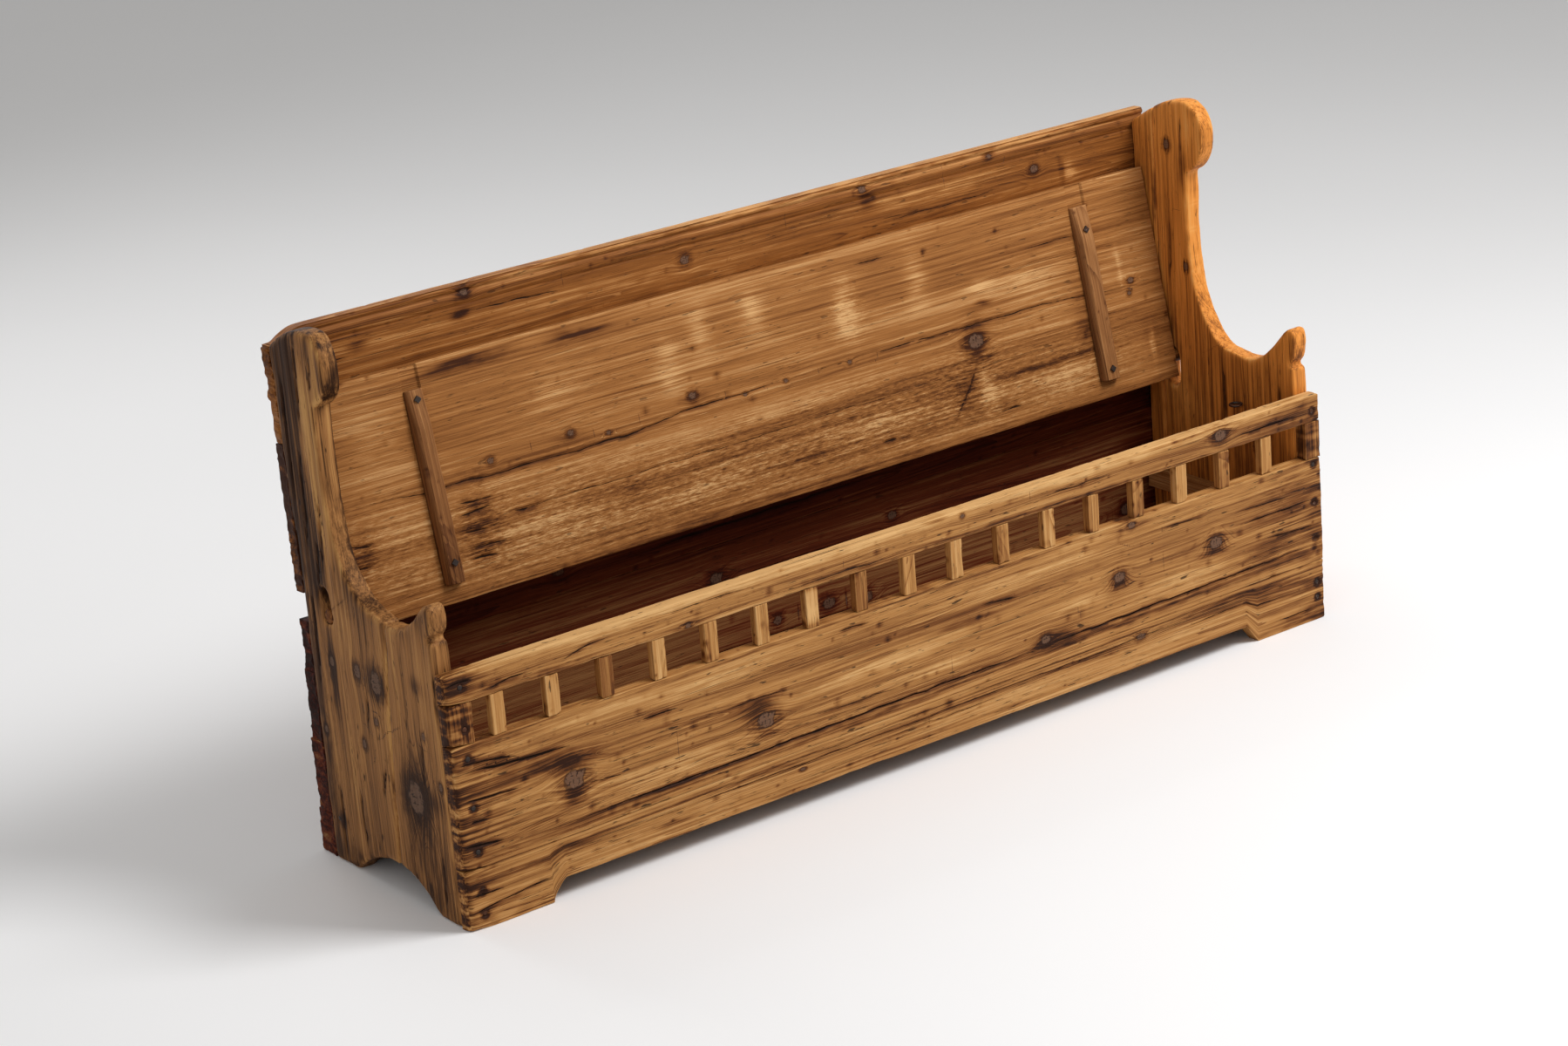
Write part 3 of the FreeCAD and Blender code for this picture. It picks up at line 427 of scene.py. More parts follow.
def board(name, material, slot, along="X", lean=0.0, body="bench", steps=(6, 6, 6), arris=1.0,
          kept=None, pith=(0, 40, 0.0, 0.0), dents=0, seed=1, tone=0.0, extra=((), (), ()),
          worn=None, shape=None, nails=(), dirt=None, box=None, fur=0.0, top_highlight=0.0):
    """A worn board in the place of a CAD node.

    A box of crowded places is rounded by round_edges, with a radius that wanders with noise,
    then waved by noise, split and dented. worn may change the radius, shape may move points,
    and a grime function gives a field of grime, stored with darkening that also holds painted
    shade. fur is how far rough spots lift and tear, and the highlight number is how much paler
    the upward faces are painted: a painted highlight.
    """
    kept = kept or marks()
    low, high = box or upright_box(name, lean)
    spots = np.array([leaned(place[None], -lean)[0] for place in nails]).reshape(-1, 3)
    around = np.array((-6.5, -4.2, -2, 0, 2, 4.2, 6.5)) * MM
    inside = [spot for spot in spots if np.all(spot[[0, 2]] > low[[0, 2]])
              and np.all(spot[[0, 2]] < high[[0, 2]])]
    extra_x = list(extra[0]) + [spot[0] + a for spot in inside for a in around]
    extra_z = list(extra[2]) + [spot[2] + a for spot in inside for a in around]
    xs = crowded(low[0], high[0], steps[0] * MM, extra_x)
    ys = crowded(low[1], high[1], steps[1] * MM, extra[1])
    zs = crowded(low[2], high[2], steps[2] * MM, extra_z)
    points, faces = box_lattice(xs, ys, zs)
    rng = np.random.default_rng(seed)
    stretch = np.array(STRETCHES[along])
    uneven = rough_noise(points, stretch * 14 * MM, seed)
    radius = wear().arris * arris * (0.3 + 2.6 * uneven ** 3)
    if worn:
        radius = worn(points, radius, low, high)
    start = points
    points, way = round_edges(points, low, high, radius)
    fields, press, dark = grain_fields(start, way, low, high, along, seed, tone, kept, pith)
    wave = rough_noise(start, stretch * 60 * MM, seed + 5) * wear().wave
    ripple = rough_noise(start, stretch * 5 * MM, seed + 7) * fields["rough"] * fur * MM
    points = points - way * (wave + ripple + press)[:, None]
    dented_in = np.zeros(len(points))
    if dents:
        picks = rng.integers(0, len(points), dents)
        sizes = rng.uniform(3, 11, dents) * MM
        depths = rng.uniform(0.25, 1, dents) ** 2 * wear().dent
        points, dented_in = dented(points, way, points[picks], sizes, depths)
    for spot in inside:
        away = np.hypot(points[:, 0] - spot[0], points[:, 2] - spot[2])
        deep = wear().hollow * (1 - step_up(away, 3.6 * MM, 6.6 * MM))
        flat = np.abs(way[:, 1]) > 0.5
        points = points - way * (deep * flat)[:, None]
        dark += 1.2 * flat * (1 - step_up(away, 5 * MM, 11 * MM))
    if shape:
        points = shape(points, way, low, high, start)
    # The darkening field holds dents, nail marks and the board's dark marks: grime, and at some
    # ends painted shade.
    fields["dirt"] = np.clip(dented_in / (1.2 * MM), 0, 1) * 0.6 + dark
    # Upward faces are painted paler by the highlight number: a painted highlight.
    fields["pale"] = np.clip(fields["pale"] + top_highlight * (way[:, 2] > 0.7), 0, 1)
    if dirt:
        fields["dirt"] = fields["dirt"] + dirt(start, low, high)
    fields["dirt"] = np.clip(fields["dirt"], 0, 1)
    return new_piece(
        name + "_wood", points, faces, body, [name], material, fields,
        lean if lean else None)


# Materials

class Graph:
    """A short way to write a material's nodes as sums of named fields."""

    def __init__(self, name):
        self.material = bpy.data.materials.new(name)
        self.material.use_nodes = True
        self.tree = self.material.node_tree
        self.tree.nodes.clear()

    def node(self, kind, **settings):
        """A node with its settings."""
        made = self.tree.nodes.new(kind)
        for key, value in settings.items():
            setattr(made, key, value)
        return made

    def feed(self, socket, value):
        """Link a field into a socket, or set the socket to a number."""
        if isinstance(value, bpy.types.NodeSocket):
            self.tree.links.new(value, socket)
        else:
            socket.default_value = value

    def math(self, operation, first, second=0.0, clamp=False):
        """A sum on two numbers or fields."""
        made = self.node("ShaderNodeMath", operation=operation, use_clamp=clamp)
        self.feed(made.inputs[0], first)
        self.feed(made.inputs[1], second)
        return made.outputs[0]

    def field(self, name, vector=False):
        """One of the piece's own attributes."""
        made = self.node("ShaderNodeAttribute", attribute_name=name)
        return made.outputs["Vector" if vector else "Fac"]

    def stretched(self, vector, scale, shift=(0, 0, 0)):
        """A vector times a scale, plus a shift."""
        made = self.node("ShaderNodeVectorMath", operation="MULTIPLY_ADD")
        self.feed(made.inputs[0], vector)
        made.inputs[1].default_value = scale
        made.inputs[2].default_value = shift
        return made.outputs[0]

    def noise(self, vector, scale, detail=3.0, shift=(0, 0, 0), roughness=0.5):
        """Noise on a stretched vector."""
        made = self.node("ShaderNodeTexNoise")
        self.feed(made.inputs["Vector"], self.stretched(vector, scale, shift))
        made.inputs["Scale"].default_value = 1.0
        made.inputs["Detail"].default_value = detail
        made.inputs["Roughness"].default_value = roughness
        return made.outputs["Fac"]

    def ramp(self, value, low, high, start=0.0, end=1.0):
        """A smooth step from low to high, giving start to end."""
        made = self.node("ShaderNodeMapRange", interpolation_type="SMOOTHSTEP")
        self.feed(made.inputs["Value"], value)
        made.inputs["From Min"].default_value = low
        made.inputs["From Max"].default_value = high
        made.inputs["To Min"].default_value = start
        made.inputs["To Max"].default_value = end
        return made.outputs["Result"]

    def line(self, value, low, high):
        """A straight rise from 0 at low to 1 at high."""
        made = self.node("ShaderNodeMapRange")
        self.feed(made.inputs["Value"], value)
        made.inputs["From Min"].default_value = low
        made.inputs["From Max"].default_value = high
        return made.outputs["Result"]

    def mix(self, share, first, second):
        """Two colours mixed by a share."""
        made = self.node("ShaderNodeMix", data_type="RGBA")
        self.feed(made.inputs[0], share)
        self.feed(made.inputs[6], first)
        self.feed(made.inputs[7], second)
        return made.outputs[2]

    def parts(self, vector):
        """The three parts of a vector."""
        made = self.node("ShaderNodeSeparateXYZ")
        self.feed(made.inputs[0], vector)
        return made.outputs

    def finish(self, base, roughness, height, depth, strength=0.6, metal=0.0, specular=0.12):
        """The surface: colour, gloss and a bump from a height field."""
        surface = self.node("ShaderNodeBsdfPrincipled")
        bump = self.node("ShaderNodeBump")
        output = self.node("ShaderNodeOutputMaterial")
        bump.inputs["Strength"].default_value = strength
        bump.inputs["Distance"].default_value = depth
        surface.inputs["Metallic"].default_value = metal
        surface.inputs["Specular IOR Level"].default_value = specular
        self.feed(bump.inputs["Height"], height)
        self.feed(surface.inputs["Base Color"], base)
        self.feed(surface.inputs["Roughness"], roughness)
        self.tree.links.new(bump.outputs[0], surface.inputs["Normal"])
        self.tree.links.new(surface.outputs[0], output.inputs[0])
        return self.material


def old_pine(name, wood, ring=7.0, late_dark=0.3, streaks=0.3, pores=0.5, cracks=0.5,
             ribs=0.0, gloss=0.5, seed=0.0):
    """Old pine, as one scale of tones that rings, streaks, fibres, wear, grime and painted
    highlight and shade move up and down.

    wood names four colours from deep to light. ring is the width of a year's ring in
    millimetres. The other numbers say how strongly each mark shows.
    """
    g = Graph(name)
    at = g.stretched(g.field("grain_at", True), (1, 1, 1), (seed, seed, seed))
    knot = g.field("knot_at", True)
    edge, dirt, tone, pale = (g.field(label) for label in ("edge", "dirt", "tone", "pale"))
    rough = g.field("rough")

    def swing(value, strength):
        """A noise turned into a push up or down about its middle."""
        return g.math("MULTIPLY", g.math("SUBTRACT", value, 0.5), strength)

    cloud = g.noise(at, (2.6, 8.0, 8.0), 3.0, (4, 1, 0))
    broad = g.noise(at, (1.2, 46.0, 46.0), 3.0, (0, 7, 2), 0.6)
    streak = g.noise(at, (2.6, 190.0, 190.0), 3.0, (3, 2, 2), 0.6)
    fibre = g.noise(at, (11.0, 620.0, 620.0), 3.0, (1, 0, 5), 0.7)
    fray = g.noise(at, (6.0, 90.0, 90.0), 2.0, (2, 5, 9))

    # Rings: each year pales slowly and ends in a dark line
    ring_at = g.math("DIVIDE", g.field("ring_at"), ring * MM)
    uneven = g.node("ShaderNodeTexNoise", noise_dimensions="1D")
    g.feed(uneven.inputs["W"], g.math("MULTIPLY", ring_at, 0.31))
    phase = g.math("ADD", ring_at, g.math("MULTIPLY", uneven.outputs["Fac"], 3.0))
    year = g.math("FRACT", g.math("ADD", phase, swing(fray, 0.32)))
    late = g.math("POWER", year, 3.2)
    late = g.math("MULTIPLY", late, g.ramp(g.noise(at, (1.5, 24.0, 24.0), 2.0, (5, 5, 5)),
                                           0.28, 0.66, 0.25, 1.0))

    # Dashes, pits, hair lines and the splits that the board names
    crowd = g.ramp(g.noise(at, (4.5, 20.0, 20.0), 3.0, (8, 3, 3)), 0.40, 0.66)
    dash = g.ramp(g.noise(at, (34.0, 480.0, 480.0), 2.0, (3, 8, 1)), 0.62, 0.71)
    dash = g.math("MULTIPLY", dash, crowd)
    pit = g.ramp(g.noise(at, (30.0, 130.0, 130.0), 2.0, (9, 9, 4)), 0.68, 0.75)
    hair = g.ramp(g.noise(at, (2.4, 330.0, 330.0), 3.0, (1, 6, 6), 0.55), 0.655, 0.70)
    hair = g.math("MULTIPLY", hair, g.ramp(g.noise(at, (3.0, 15.0, 15.0), 2.0, (7, 0, 8)),
                                           0.44, 0.60))
    away, half, deep = g.parts(g.field("split_at", True))
    frayed = g.math("ADD", half, swing(g.noise(at, (120.0, 300.0, 300.0), 2.0, (0, 2, 7)), 1.6))
    reach = g.math("SUBTRACT", frayed, g.math("ABSOLUTE", away))
    split = g.ramp(reach, -0.25, 0.55)
    beside = g.ramp(reach, -7.0, 0.0)

    tones = g.math("ADD", 0.60, tone)
    tones = g.math("ADD", tones, swing(cloud, 0.42))
    tones = g.math("ADD", tones, swing(broad, 1.35 * streaks))
    tones = g.math("ADD", tones, swing(streak, 0.72))
    tones = g.math("ADD", tones, swing(fibre, 0.60))
    tones = g.math("SUBTRACT", tones, g.math("MULTIPLY", late, late_dark))
    # Pale wear spots and the painted highlight of upward faces lift the tone.
    tones = g.math("ADD", tones, g.math("MULTIPLY", pale, g.ramp(fibre, 0.3, 0.6, 0.26, 0.5)))
    torn = g.noise(at, (55.0, 240.0, 240.0), 4.0, (6, 6, 2), 0.7)
    tones = g.math("ADD", tones, g.math("MULTIPLY", swing(torn, 1.5), rough))

    # Knots: rings round a dark eye, star checks, a bark rim and a dark halo
    spread = g.node("ShaderNodeVectorMath", operation="LENGTH")
    wobble = g.noise(knot, (1.5, 1.5, 1.0), 2.0)
    g.feed(spread.inputs[0], g.stretched(knot, (1.0, 1.15, 0.0)))
    out = g.math("ADD", spread.outputs["Value"], swing(wobble, 1.3))
    in_knot = g.ramp(out, 0.74, 1.10, 1.0, 0.0)
    halo = g.ramp(out, 1.0, 2.6, 1.0, 0.0)
    rim = g.math("MULTIPLY", g.ramp(out, 0.78, 0.96), g.ramp(out, 1.0, 1.2, 1.0, 0.0))
    knot_rings = g.math("FRACT", g.math("MULTIPLY", out, 4.0))
    check = g.ramp(g.noise(knot, (5.0, 1.6, 1.0), 3.0, (2, 0, 0), 0.6), 0.58, 0.64)
    cross = g.ramp(g.noise(knot, (1.4, 4.6, 1.0), 3.0, (5, 1, 0), 0.6), 0.62, 0.67)
    check = g.math("MULTIPLY", g.math("MAXIMUM", check, cross), in_knot)
    shade = g.math("MULTIPLY", halo, g.ramp(streak, 0.3, 0.7, 0.42, 0.1))
    tones = g.math("SUBTRACT", tones, shade)

    # Wear and grime, and the painted shade that the darkening field carries
    rub = g.math("MULTIPLY", edge, g.ramp(g.noise(at, (13.0, 36.0, 36.0), 2.0), 0.38, 0.58))
    grime = g.math("MULTIPLY", edge, g.ramp(g.noise(at, (10.0, 28.0, 28.0), 3.0, (3, 3, 0)),
                                            0.54, 0.68))
    tones = g.math("ADD", tones, g.math("MULTIPLY", rub, 0.26))
    tones = g.math("SUBTRACT", tones, g.math("MULTIPLY", grime, 0.42))
    # Darker where the darkening field is high: grime, and the painted shade at some board ends.
    stain_and_shade = g.math("MULTIPLY", dirt, g.ramp(streak, 0.25, 0.65, 0.8, 0.45))
    tones = g.math("SUBTRACT", tones, stain_and_shade)
    edging = g.math("MULTIPLY", beside, g.ramp(deep, 0.0, 4.0, 0.1, 0.35))
    tones = g.math("SUBTRACT", tones, edging)

    deepest, dark, usual, light = (
        colour(wood + part) for part in ("_deep", "_dark", "", "_light"))
    base = g.mix(g.line(tones, 0.02, 0.30), deepest, dark)
    base = g.mix(g.line(tones, 0.30, 0.60), base, usual)
    base = g.mix(g.line(tones, 0.60, 0.95), base, light)
    knot_colour = g.mix(g.math("MULTIPLY", knot_rings, 0.35), colour("knot"), dark)
    base = g.mix(g.math("MULTIPLY", in_knot, 0.9), base, knot_colour)
    base = g.mix(g.math("MULTIPLY", rim, 0.6), base, colour("knot_rim"))
    for mark, strength in ((dash, pores), (pit, pores * 0.9), (hair, cracks), (split, 0.97),
                           (check, 0.9)):
        base = g.mix(g.math("MULTIPLY", mark, strength, clamp=True), base, colour("pore"))

    rib = g.noise(at, (14.0, 420.0, 420.0), 2.0, (6, 1, 1))
    height = g.math("ADD", g.math("MULTIPLY", fibre, 0.30), g.math("MULTIPLY", late, 0.25))
    height = g.math("ADD", height, g.math("MULTIPLY", streak, 0.30))
    height = g.math("ADD", height, g.math("MULTIPLY", rib, ribs))
    height = g.math("ADD", height, g.math("MULTIPLY", g.math("MULTIPLY", torn, rough), 2.6))
    for mark, strength in ((dash, 0.6), (pit, 0.9), (hair, 1.0), (split, 2.2), (check, 1.6)):
        height = g.math("SUBTRACT", height, g.math("MULTIPLY", mark, strength))
    roughness = g.math("ADD", g.math("MULTIPLY", fibre, 0.22), 0.60 - 0.24 * gloss)
    roughness = g.math("ADD", roughness, g.math("MULTIPLY", g.math("ADD", dash, split), 0.2))
    return g.finish(base, roughness, height, 0.0011, 0.7)


def forged_iron(name):
    """Hand-forged iron: dark scale, brown rust in patches and rubbed high spots."""
    g = Graph(name)
    place = g.node("ShaderNodeTexCoord").outputs["Object"]
    scale = g.noise(place, (260.0, 260.0, 260.0), 4.0, (0, 0, 0), 0.65)
    patch = g.noise(place, (70.0, 70.0, 70.0), 2.0, (3, 3, 3))
    base = g.mix(g.ramp(patch, 0.45, 0.62), colour("iron"), colour("rust"))
    base = g.mix(g.ramp(scale, 0.60, 0.75, 0.0, 0.6), base, colour("iron_pale"))
    roughness = g.math("ADD", g.math("MULTIPLY", scale, 0.3), 0.38)
    return g.finish(base, roughness, scale, 0.0006, 0.6, 0.75, 0.5)


def material(name):
    """A finish by name, made the first time that it is asked for."""
    made = bpy.data.materials.get(name)
    if made:
        return made
    finishes = {
        "front_pine": lambda: old_pine(name, "front", 9.0, 0.30, 0.36, 0.9, 0.9),
        "side_pine": lambda: old_pine(name, "side", 10.0, 0.26, 0.42, 0.9, 1.0, seed=3.0),
        "right_pine": lambda: old_pine(name, "right", 9.0, 0.26, 0.36, 0.6, 0.6, seed=4.0),
        "back_pine": lambda: old_pine(name, "back", 8.0, 0.34, 0.30, 0.6, 0.5, seed=5.0),
        "lid_pine": lambda: old_pine(
            name, "lid", 9.0, 0.22, 0.30, 0.5, 0.4, ribs=0.5, gloss=0.3, seed=1.0),
        "batten_pine": lambda: old_pine(name, "batten", 7.0, 0.28, 0.3, 0.5, 0.3, seed=7.0),
        # The inside's near-black tones are painted shade of the box's interior.
        "inner_pine": lambda: old_pine(
            name, "inner", 8.0, 0.3, 0.4, 0.6, 0.5, ribs=1.2, gloss=0.0, seed=2.0),
        "forged_iron": lambda: forged_iron(name)}
    return finishes[name]()


# Front

FRONT_NAILS = nail_places("front_nails")
BACK_NAILS = nail_places("back_nails")


def left_corner(points, radius, low, high):
    """The left front corner is worn far rounder than the rest, and the front edges at the right end
    a little rounder.
    """
    to_left = step_up(low[0] + 46 * MM - points[:, 0], 0, 40 * MM)
    in_front = step_up(low[1] + 22 * MM - points[:, 1], 0, 16 * MM)
    lumps = noise(points, (30 * MM, 30 * MM, 15 * MM), 3)
    worn_away = (wear().corner - radius) * to_left * in_front * (0.35 + 1.0 * lumps)
    to_right = step_up(points[:, 0] - high[0] + 20 * MM, 0, 18 * MM)
    return radius + worn_away + 2.5 * MM * to_right * in_front * lumps


def end_dirt(points, low, high):
    """Grime that gathers at the two ends of the front and near the floor."""
    patchy = rough_noise(points, (52 * MM, 30 * MM, 7 * MM), 8)
    from_left = np.exp(-(points[:, 0] - CAD_LOW[0]) / (38 * MM))
    from_right = np.exp(-(CAD_HIGH[0] - points[:, 0]) / (95 * MM))
    near_ends = 0.6 * np.exp(-(points[:, 0] - CAD_LOW[0]) / (150 * MM)) + 1.3 * from_right
    from_floor = np.exp(-points[:, 2] / (16 * MM))
    return (0.9 * from_left + 0.5 * near_ends + 0.25 * from_floor) * step_up(patchy, 0.28, 0.72)


def joint_height(x):
    """How high the sloping joint of the apron and the plank lies above the floor."""
    share = (x - CAD_LOW[0]) / (CAD_HIGH[0] - CAD_LOW[0])
    return (JOINT_LEFT + (JOINT_RIGHT - JOINT_LEFT) * share) * MM


def apron_shape(points, way, low, high, start):
    """The apron runs from its foot opening up to the sloping joint.

    The height above its lowest edge is shared out evenly: z becomes b + (z - low) (t - b) / h,
    with b the opening's rise and t the joint's height.
    """
    left_foot = low[0] + LEFT_FOOT * MM
    right_foot = high[0] - RIGHT_FOOT * MM
    rise = np.interp(start[:, 0], (low[0], high[0]), (OPENING_LEFT * MM, OPENING_RIGHT * MM))
    left_rise = np.clip((start[:, 0] - left_foot) / (FOOT_FLARE * MM), 0, 1) ** 0.6
    right_rise = np.clip((right_foot - start[:, 0]) / (FOOT_FLARE * MM), 0, 1)
    bottom = rise * np.minimum(left_rise, right_rise)
    top = joint_height(start[:, 0])
    bent = points.copy()
    bent[:, 2] = bottom + (points[:, 2] - low[2]) * (top - bottom) / (high[2] - low[2])
    return bent


def plank_shape(points, way, low, high, start):
    """The plank's lower edge follows the sloping joint; its upper edge stays level."""
    bottom = joint_height(start[:, 0])
    bent = points.copy()
    bent[:, 2] = high[2] - (high[2] - points[:, 2]) * (high[2] - bottom) / (high[2] - low[2])
    return bent


APRON_MARKS = marks(
    knots=[(466, 80, 9), (-261, 58, 5)],
    splits=[([(-905, 31), (-840, 40), (-738, 48)], 2.2, 3), ([(-900, 84), (900, 99)], 0.9, 1.2),
            ([(-740, 70), (0, 74), (700, 82)], 1.6, 2), ([(-120, 58), (180, 60)], 1.2, 1.5),
            ([(560, 62), (820, 68)], 1.6, 2), ([(-896, 62), (-830, 60)], 2.0, 3),
            ([(780, 24), (890, 26)], 1.6, 2)],
    dark=[(-520, 40, 40, 7, 0.7), (-700, 80, 60, 10, 0.8), (-12, 92, 30, 5, 0.6),
          (43, 90, 8, 12, 0.8), (330, 70, 90, 6, 0.5), (-350, 88, 120, 5, 0.5),
          (700, 90, 150, 7, 0.6), (-560, 92, 160, 5, 0.5)],
    pale=[(-420, 64, 90, 7, 0.5), (120, 50, 120, 8, 0.5), (560, 45, 90, 7, 0.5)])
PLANK_MARKS = marks(
    knots=[(-689, 188, 19), (-324, 173, 17), (424, 203, 11), (646, 204, 13), (256, 137, 9),
           (457, 291, 7)],
    splits=[([(-890, 270), (-840, 266), (-786, 258)], 3.0, 4),
            ([(-890, 258), (-800, 252), (-682, 243)], 3.4, 5),
            ([(-892, 212), (-840, 209), (-778, 203)], 2.6, 4),
            ([(-880, 174), (-848, 173)], 2.4, 3), ([(-896, 138), (-820, 132)], 2.6, 4),
            ([(-790, 121), (-300, 123), (300, 125)], 2.6, 4),
            ([(240, 126), (600, 129), (885, 133)], 2.4, 4),
            ([(700, 222), (884, 221)], 1.8, 3), ([(690, 246), (830, 243)], 1.2, 2),
            ([(-672, 176), (-600, 168)], 1.6, 2), ([(-560, 246), (-490, 245)], 2.0, 3),
            ([(-175, 279), (-105, 277)], 2.0, 3), ([(118, 239), (207, 232)], 2.0, 3),
            ([(520, 266), (640, 262)], 1.5, 2), ([(-420, 214), (-260, 211)], 1.2, 2),
            ([(760, 176), (888, 172)], 1.8, 3), ([(-240, 150), (-60, 148)], 1.3, 2)],
    dark=[(-690, 162, 16, 12, 0.9), (-690, 221, 34, 13, 0.7), (-345, 196, 26, 12, 0.7),
          (290, 128, 44, 16, 0.8), (256, 137, 24, 10, 0.6), (424, 186, 26, 8, 0.6),
          (646, 186, 34, 8, 0.6), (457, 291, 36, 9, 0.6), (-560, 112, 140, 7, 0.6),
          (-100, 112, 260, 5, 0.5), (500, 118, 260, 6, 0.6), (780, 150, 90, 26, 0.5),
          (820, 250, 70, 22, 0.4), (-760, 230, 60, 14, 0.5), (100, 215, 80, 8, 0.4),
          (0, 296, 800, 4, 0.35)],
    pale=[(-520, 150, 130, 14, 0.6), (-120, 196, 180, 13, 0.6), (230, 262, 160, 14, 0.6),
          (560, 160, 110, 12, 0.5), (-420, 268, 110, 11, 0.6), (60, 160, 120, 10, 0.5),
          (-640, 286, 90, 7, 0.5), (330, 180, 90, 9, 0.5)])
RAIL_MARKS = marks(
    knots=[(666, 398, 12), (-456, 373, 5), (96, 405, 4)],
    splits=[([(-896, 398), (-850, 404)], 3.0, 4), ([(-840, 378), (-750, 385)], 2.4, 3),
            ([(-690, 386), (-645, 396), (-600, 399)], 1.8, 2), ([(-250, 378), (-60, 377)], 1.8, 2),
            ([(260, 392), (420, 394)], 1.3, 2), ([(700, 386), (850, 388)], 1.8, 3),
            ([(-520, 404), (-330, 402)], 1.2, 2)],
    dark=[(-880, 405, 30, 10, 0.9), (42, 414, 22, 5, 0.8), (-456, 374, 30, 6, 0.6),
          (666, 398, 30, 12, 0.5), (-700, 372, 90, 5, 0.5), (300, 371, 300, 3, 0.5),
          (820, 392, 60, 18, 0.5)],
    # The pale spots along the top edge, at 411 and 412, are painted highlight.
    pale=[(-500, 411, 280, 7, 0.8), (-100, 412, 200, 7, 0.8), (360, 411, 260, 7, 0.8),
          (740, 412, 120, 6, 0.6)])


class SETTLE_OT_front(bpy.types.Operator):
    """Make the apron, the wide front plank and the top rail"""
    bl_idname = "settle.front"
    bl_label = "Front boards"

    def execute(self, context):
        pine = material("front_pine")
        flares = [CAD_LOW[0] + (LEFT_FOOT + part) * MM for part in (0, 1, 3, 6, 10, 16, 25, 26)]
        flares += [CAD_HIGH[0] - (RIGHT_FOOT + part) * MM for part in (0, 5, 12, 19, 25, 26)]
        board("front_apron", pine, "front_wood", steps=(5, 6, 2.2), extra=(flares, (), ()),
              dents=160, seed=11, kept=APRON_MARKS, pith=(20, 60, 0.01, 0.0), worn=left_corner,
              shape=apron_shape, nails=FRONT_NAILS, dirt=end_dirt, tone=0.05)
        board("front_plank", pine, "front_wood", steps=(5, 6, 2.2), dents=360, seed=12,
              kept=PLANK_MARKS, pith=(214, 16, 0.006, 0.018), worn=left_corner,
              shape=plank_shape, nails=FRONT_NAILS, dirt=end_dirt)
        # The rail's upward faces are also painted paler: a painted highlight.
        board("front_top_rail", pine, "front_wood", steps=(5, 4, 2.2), dents=220, seed=13,
              arris=1.6, kept=RAIL_MARKS, pith=(330, 40, 0.0, 0.0), worn=left_corner,
              nails=FRONT_NAILS, dirt=end_dirt, tone=0.02, top_highlight=0.75)
        return {"FINISHED"}


class SETTLE_OT_gallery(bpy.types.Operator):
    """Make the end blocks and the balusters of the gallery"""
    bl_idname = "settle.gallery"
    bl_label = "Gallery"

    def execute(self, context):
        pine = material("front_pine")
        block_marks = marks(splits=[([(305, -886), (362, -880)], 2.0, 3)],
                            dark=[(327, -872, 14, 12, 1.0)])
        board("gallery_block_left", pine, "front_wood", along="Z", steps=(4, 5, 4), dents=30,
              seed=20, kept=block_marks, worn=left_corner, nails=FRONT_NAILS, dirt=end_dirt,
              tone=-0.05)
        board("gallery_block_right", pine, "front_wood", along="Z", steps=(4, 5, 4), dents=14,
              seed=21, tone=-0.12, dirt=end_dirt)
        names = sorted(name for name in frame["nodes"] if name.startswith("gallery_baluster"))
        for number, name in enumerate(names):
            low, high = upright_box(name)
            middle = 500 * (low[0] + high[0])
            kept = marks(
                splits=[([(302, middle - 4 + 7 * math.sin(number * 3.1)), (350, middle)], 1.0, 1)],
                # The two dark spots, at the bottom and top ends, are painted shade where the
                # baluster meets the plank and the rail.
                dark=[(304, middle, 5, 20, 0.7), (366, middle, 5, 20, 0.6)],
                pale=[(332, middle - 9, 26, 3, 0.6)])
            board(name, pine, "front_wood", along="Z", steps=(3, 4, 4), arris=1.3, dents=10,
                  seed=30 + number, kept=kept, pith=(middle + 40, 20, 0.0, 0.0),
                  tone=0.09 * math.sin(number * 2.4))
        return {"FINISHED"}


# Back

def moulding(points, way, low, high, start):
    """The top board's front face: depth as a function of the distance below its top.

    Two beads are bows, shoulder times (2 part - 1)^2, each with a groove below it. Towards the
    left end the board is worn down by about 20 mm, and its end is splintered.
    """
    below = (high[2] - start[:, 2]) / MM
    depth = np.zeros(len(points))
    for top, height, shoulder in BEADS:
        part = (below - top) / height
        bow = shoulder * (2 * part - 1) ** 2
        depth = np.where((part >= 0) & (part <= 1), bow, depth)
    for top in GROOVES:
        groove = GROOVE_DEPTH * (1 - ((below - top - 1.25) / 1.6) ** 2)
        depth = np.maximum(depth, groove)
    share = np.clip((high[1] - start[:, 1]) / (high[1] - low[1]), 0, 1)
    bent = points.copy()
    bent[:, 1] += depth * MM * share
    worn = step_up(low[0] + 66 * MM - start[:, 0], 0, 62 * MM)
    lumps = noise(start, (16 * MM, 16 * MM, 9 * MM), 44)
    upper = np.clip((start[:, 2] - low[2] - 60 * MM) / (high[2] - low[2] - 60 * MM), 0, 1)
    bent[:, 2] -= worn * upper * (14 + 8 * lumps) * MM
    bent[:, 0] += np.where(start[:, 0] < low[0] + 8 * MM, 7 * MM * lumps, 0)
    return bent


def ragged_ends(points, way, low, high, start):
    """The plank's ends are broken off unevenly: up to 5 mm of noise, fading over 25 mm."""
    lumps = rough_noise(start, (30 * MM, 14 * MM, 7 * MM), 91)
    bent = points.copy()
    for end, side in ((low[0], 1), (high[0], -1)):
        near = np.clip(1 - abs(start[:, 0] - end) / (25 * MM), 0, 1)
        bent[:, 0] += side * near * 5 * MM * lumps
    return bent


def rear_dirt(points, low, high):
    """The back planks are blackened at their ends."""
    patchy = rough_noise(points, (60 * MM, 30 * MM, 14 * MM), 18)
    ends = np.exp(-(points[:, 0] - CAD_LOW[0]) / (45 * MM))
    ends += np.exp(-(CAD_HIGH[0] - points[:, 0]) / (45 * MM))
    return 1.1 * ends * step_up(patchy, 0.2, 0.6)


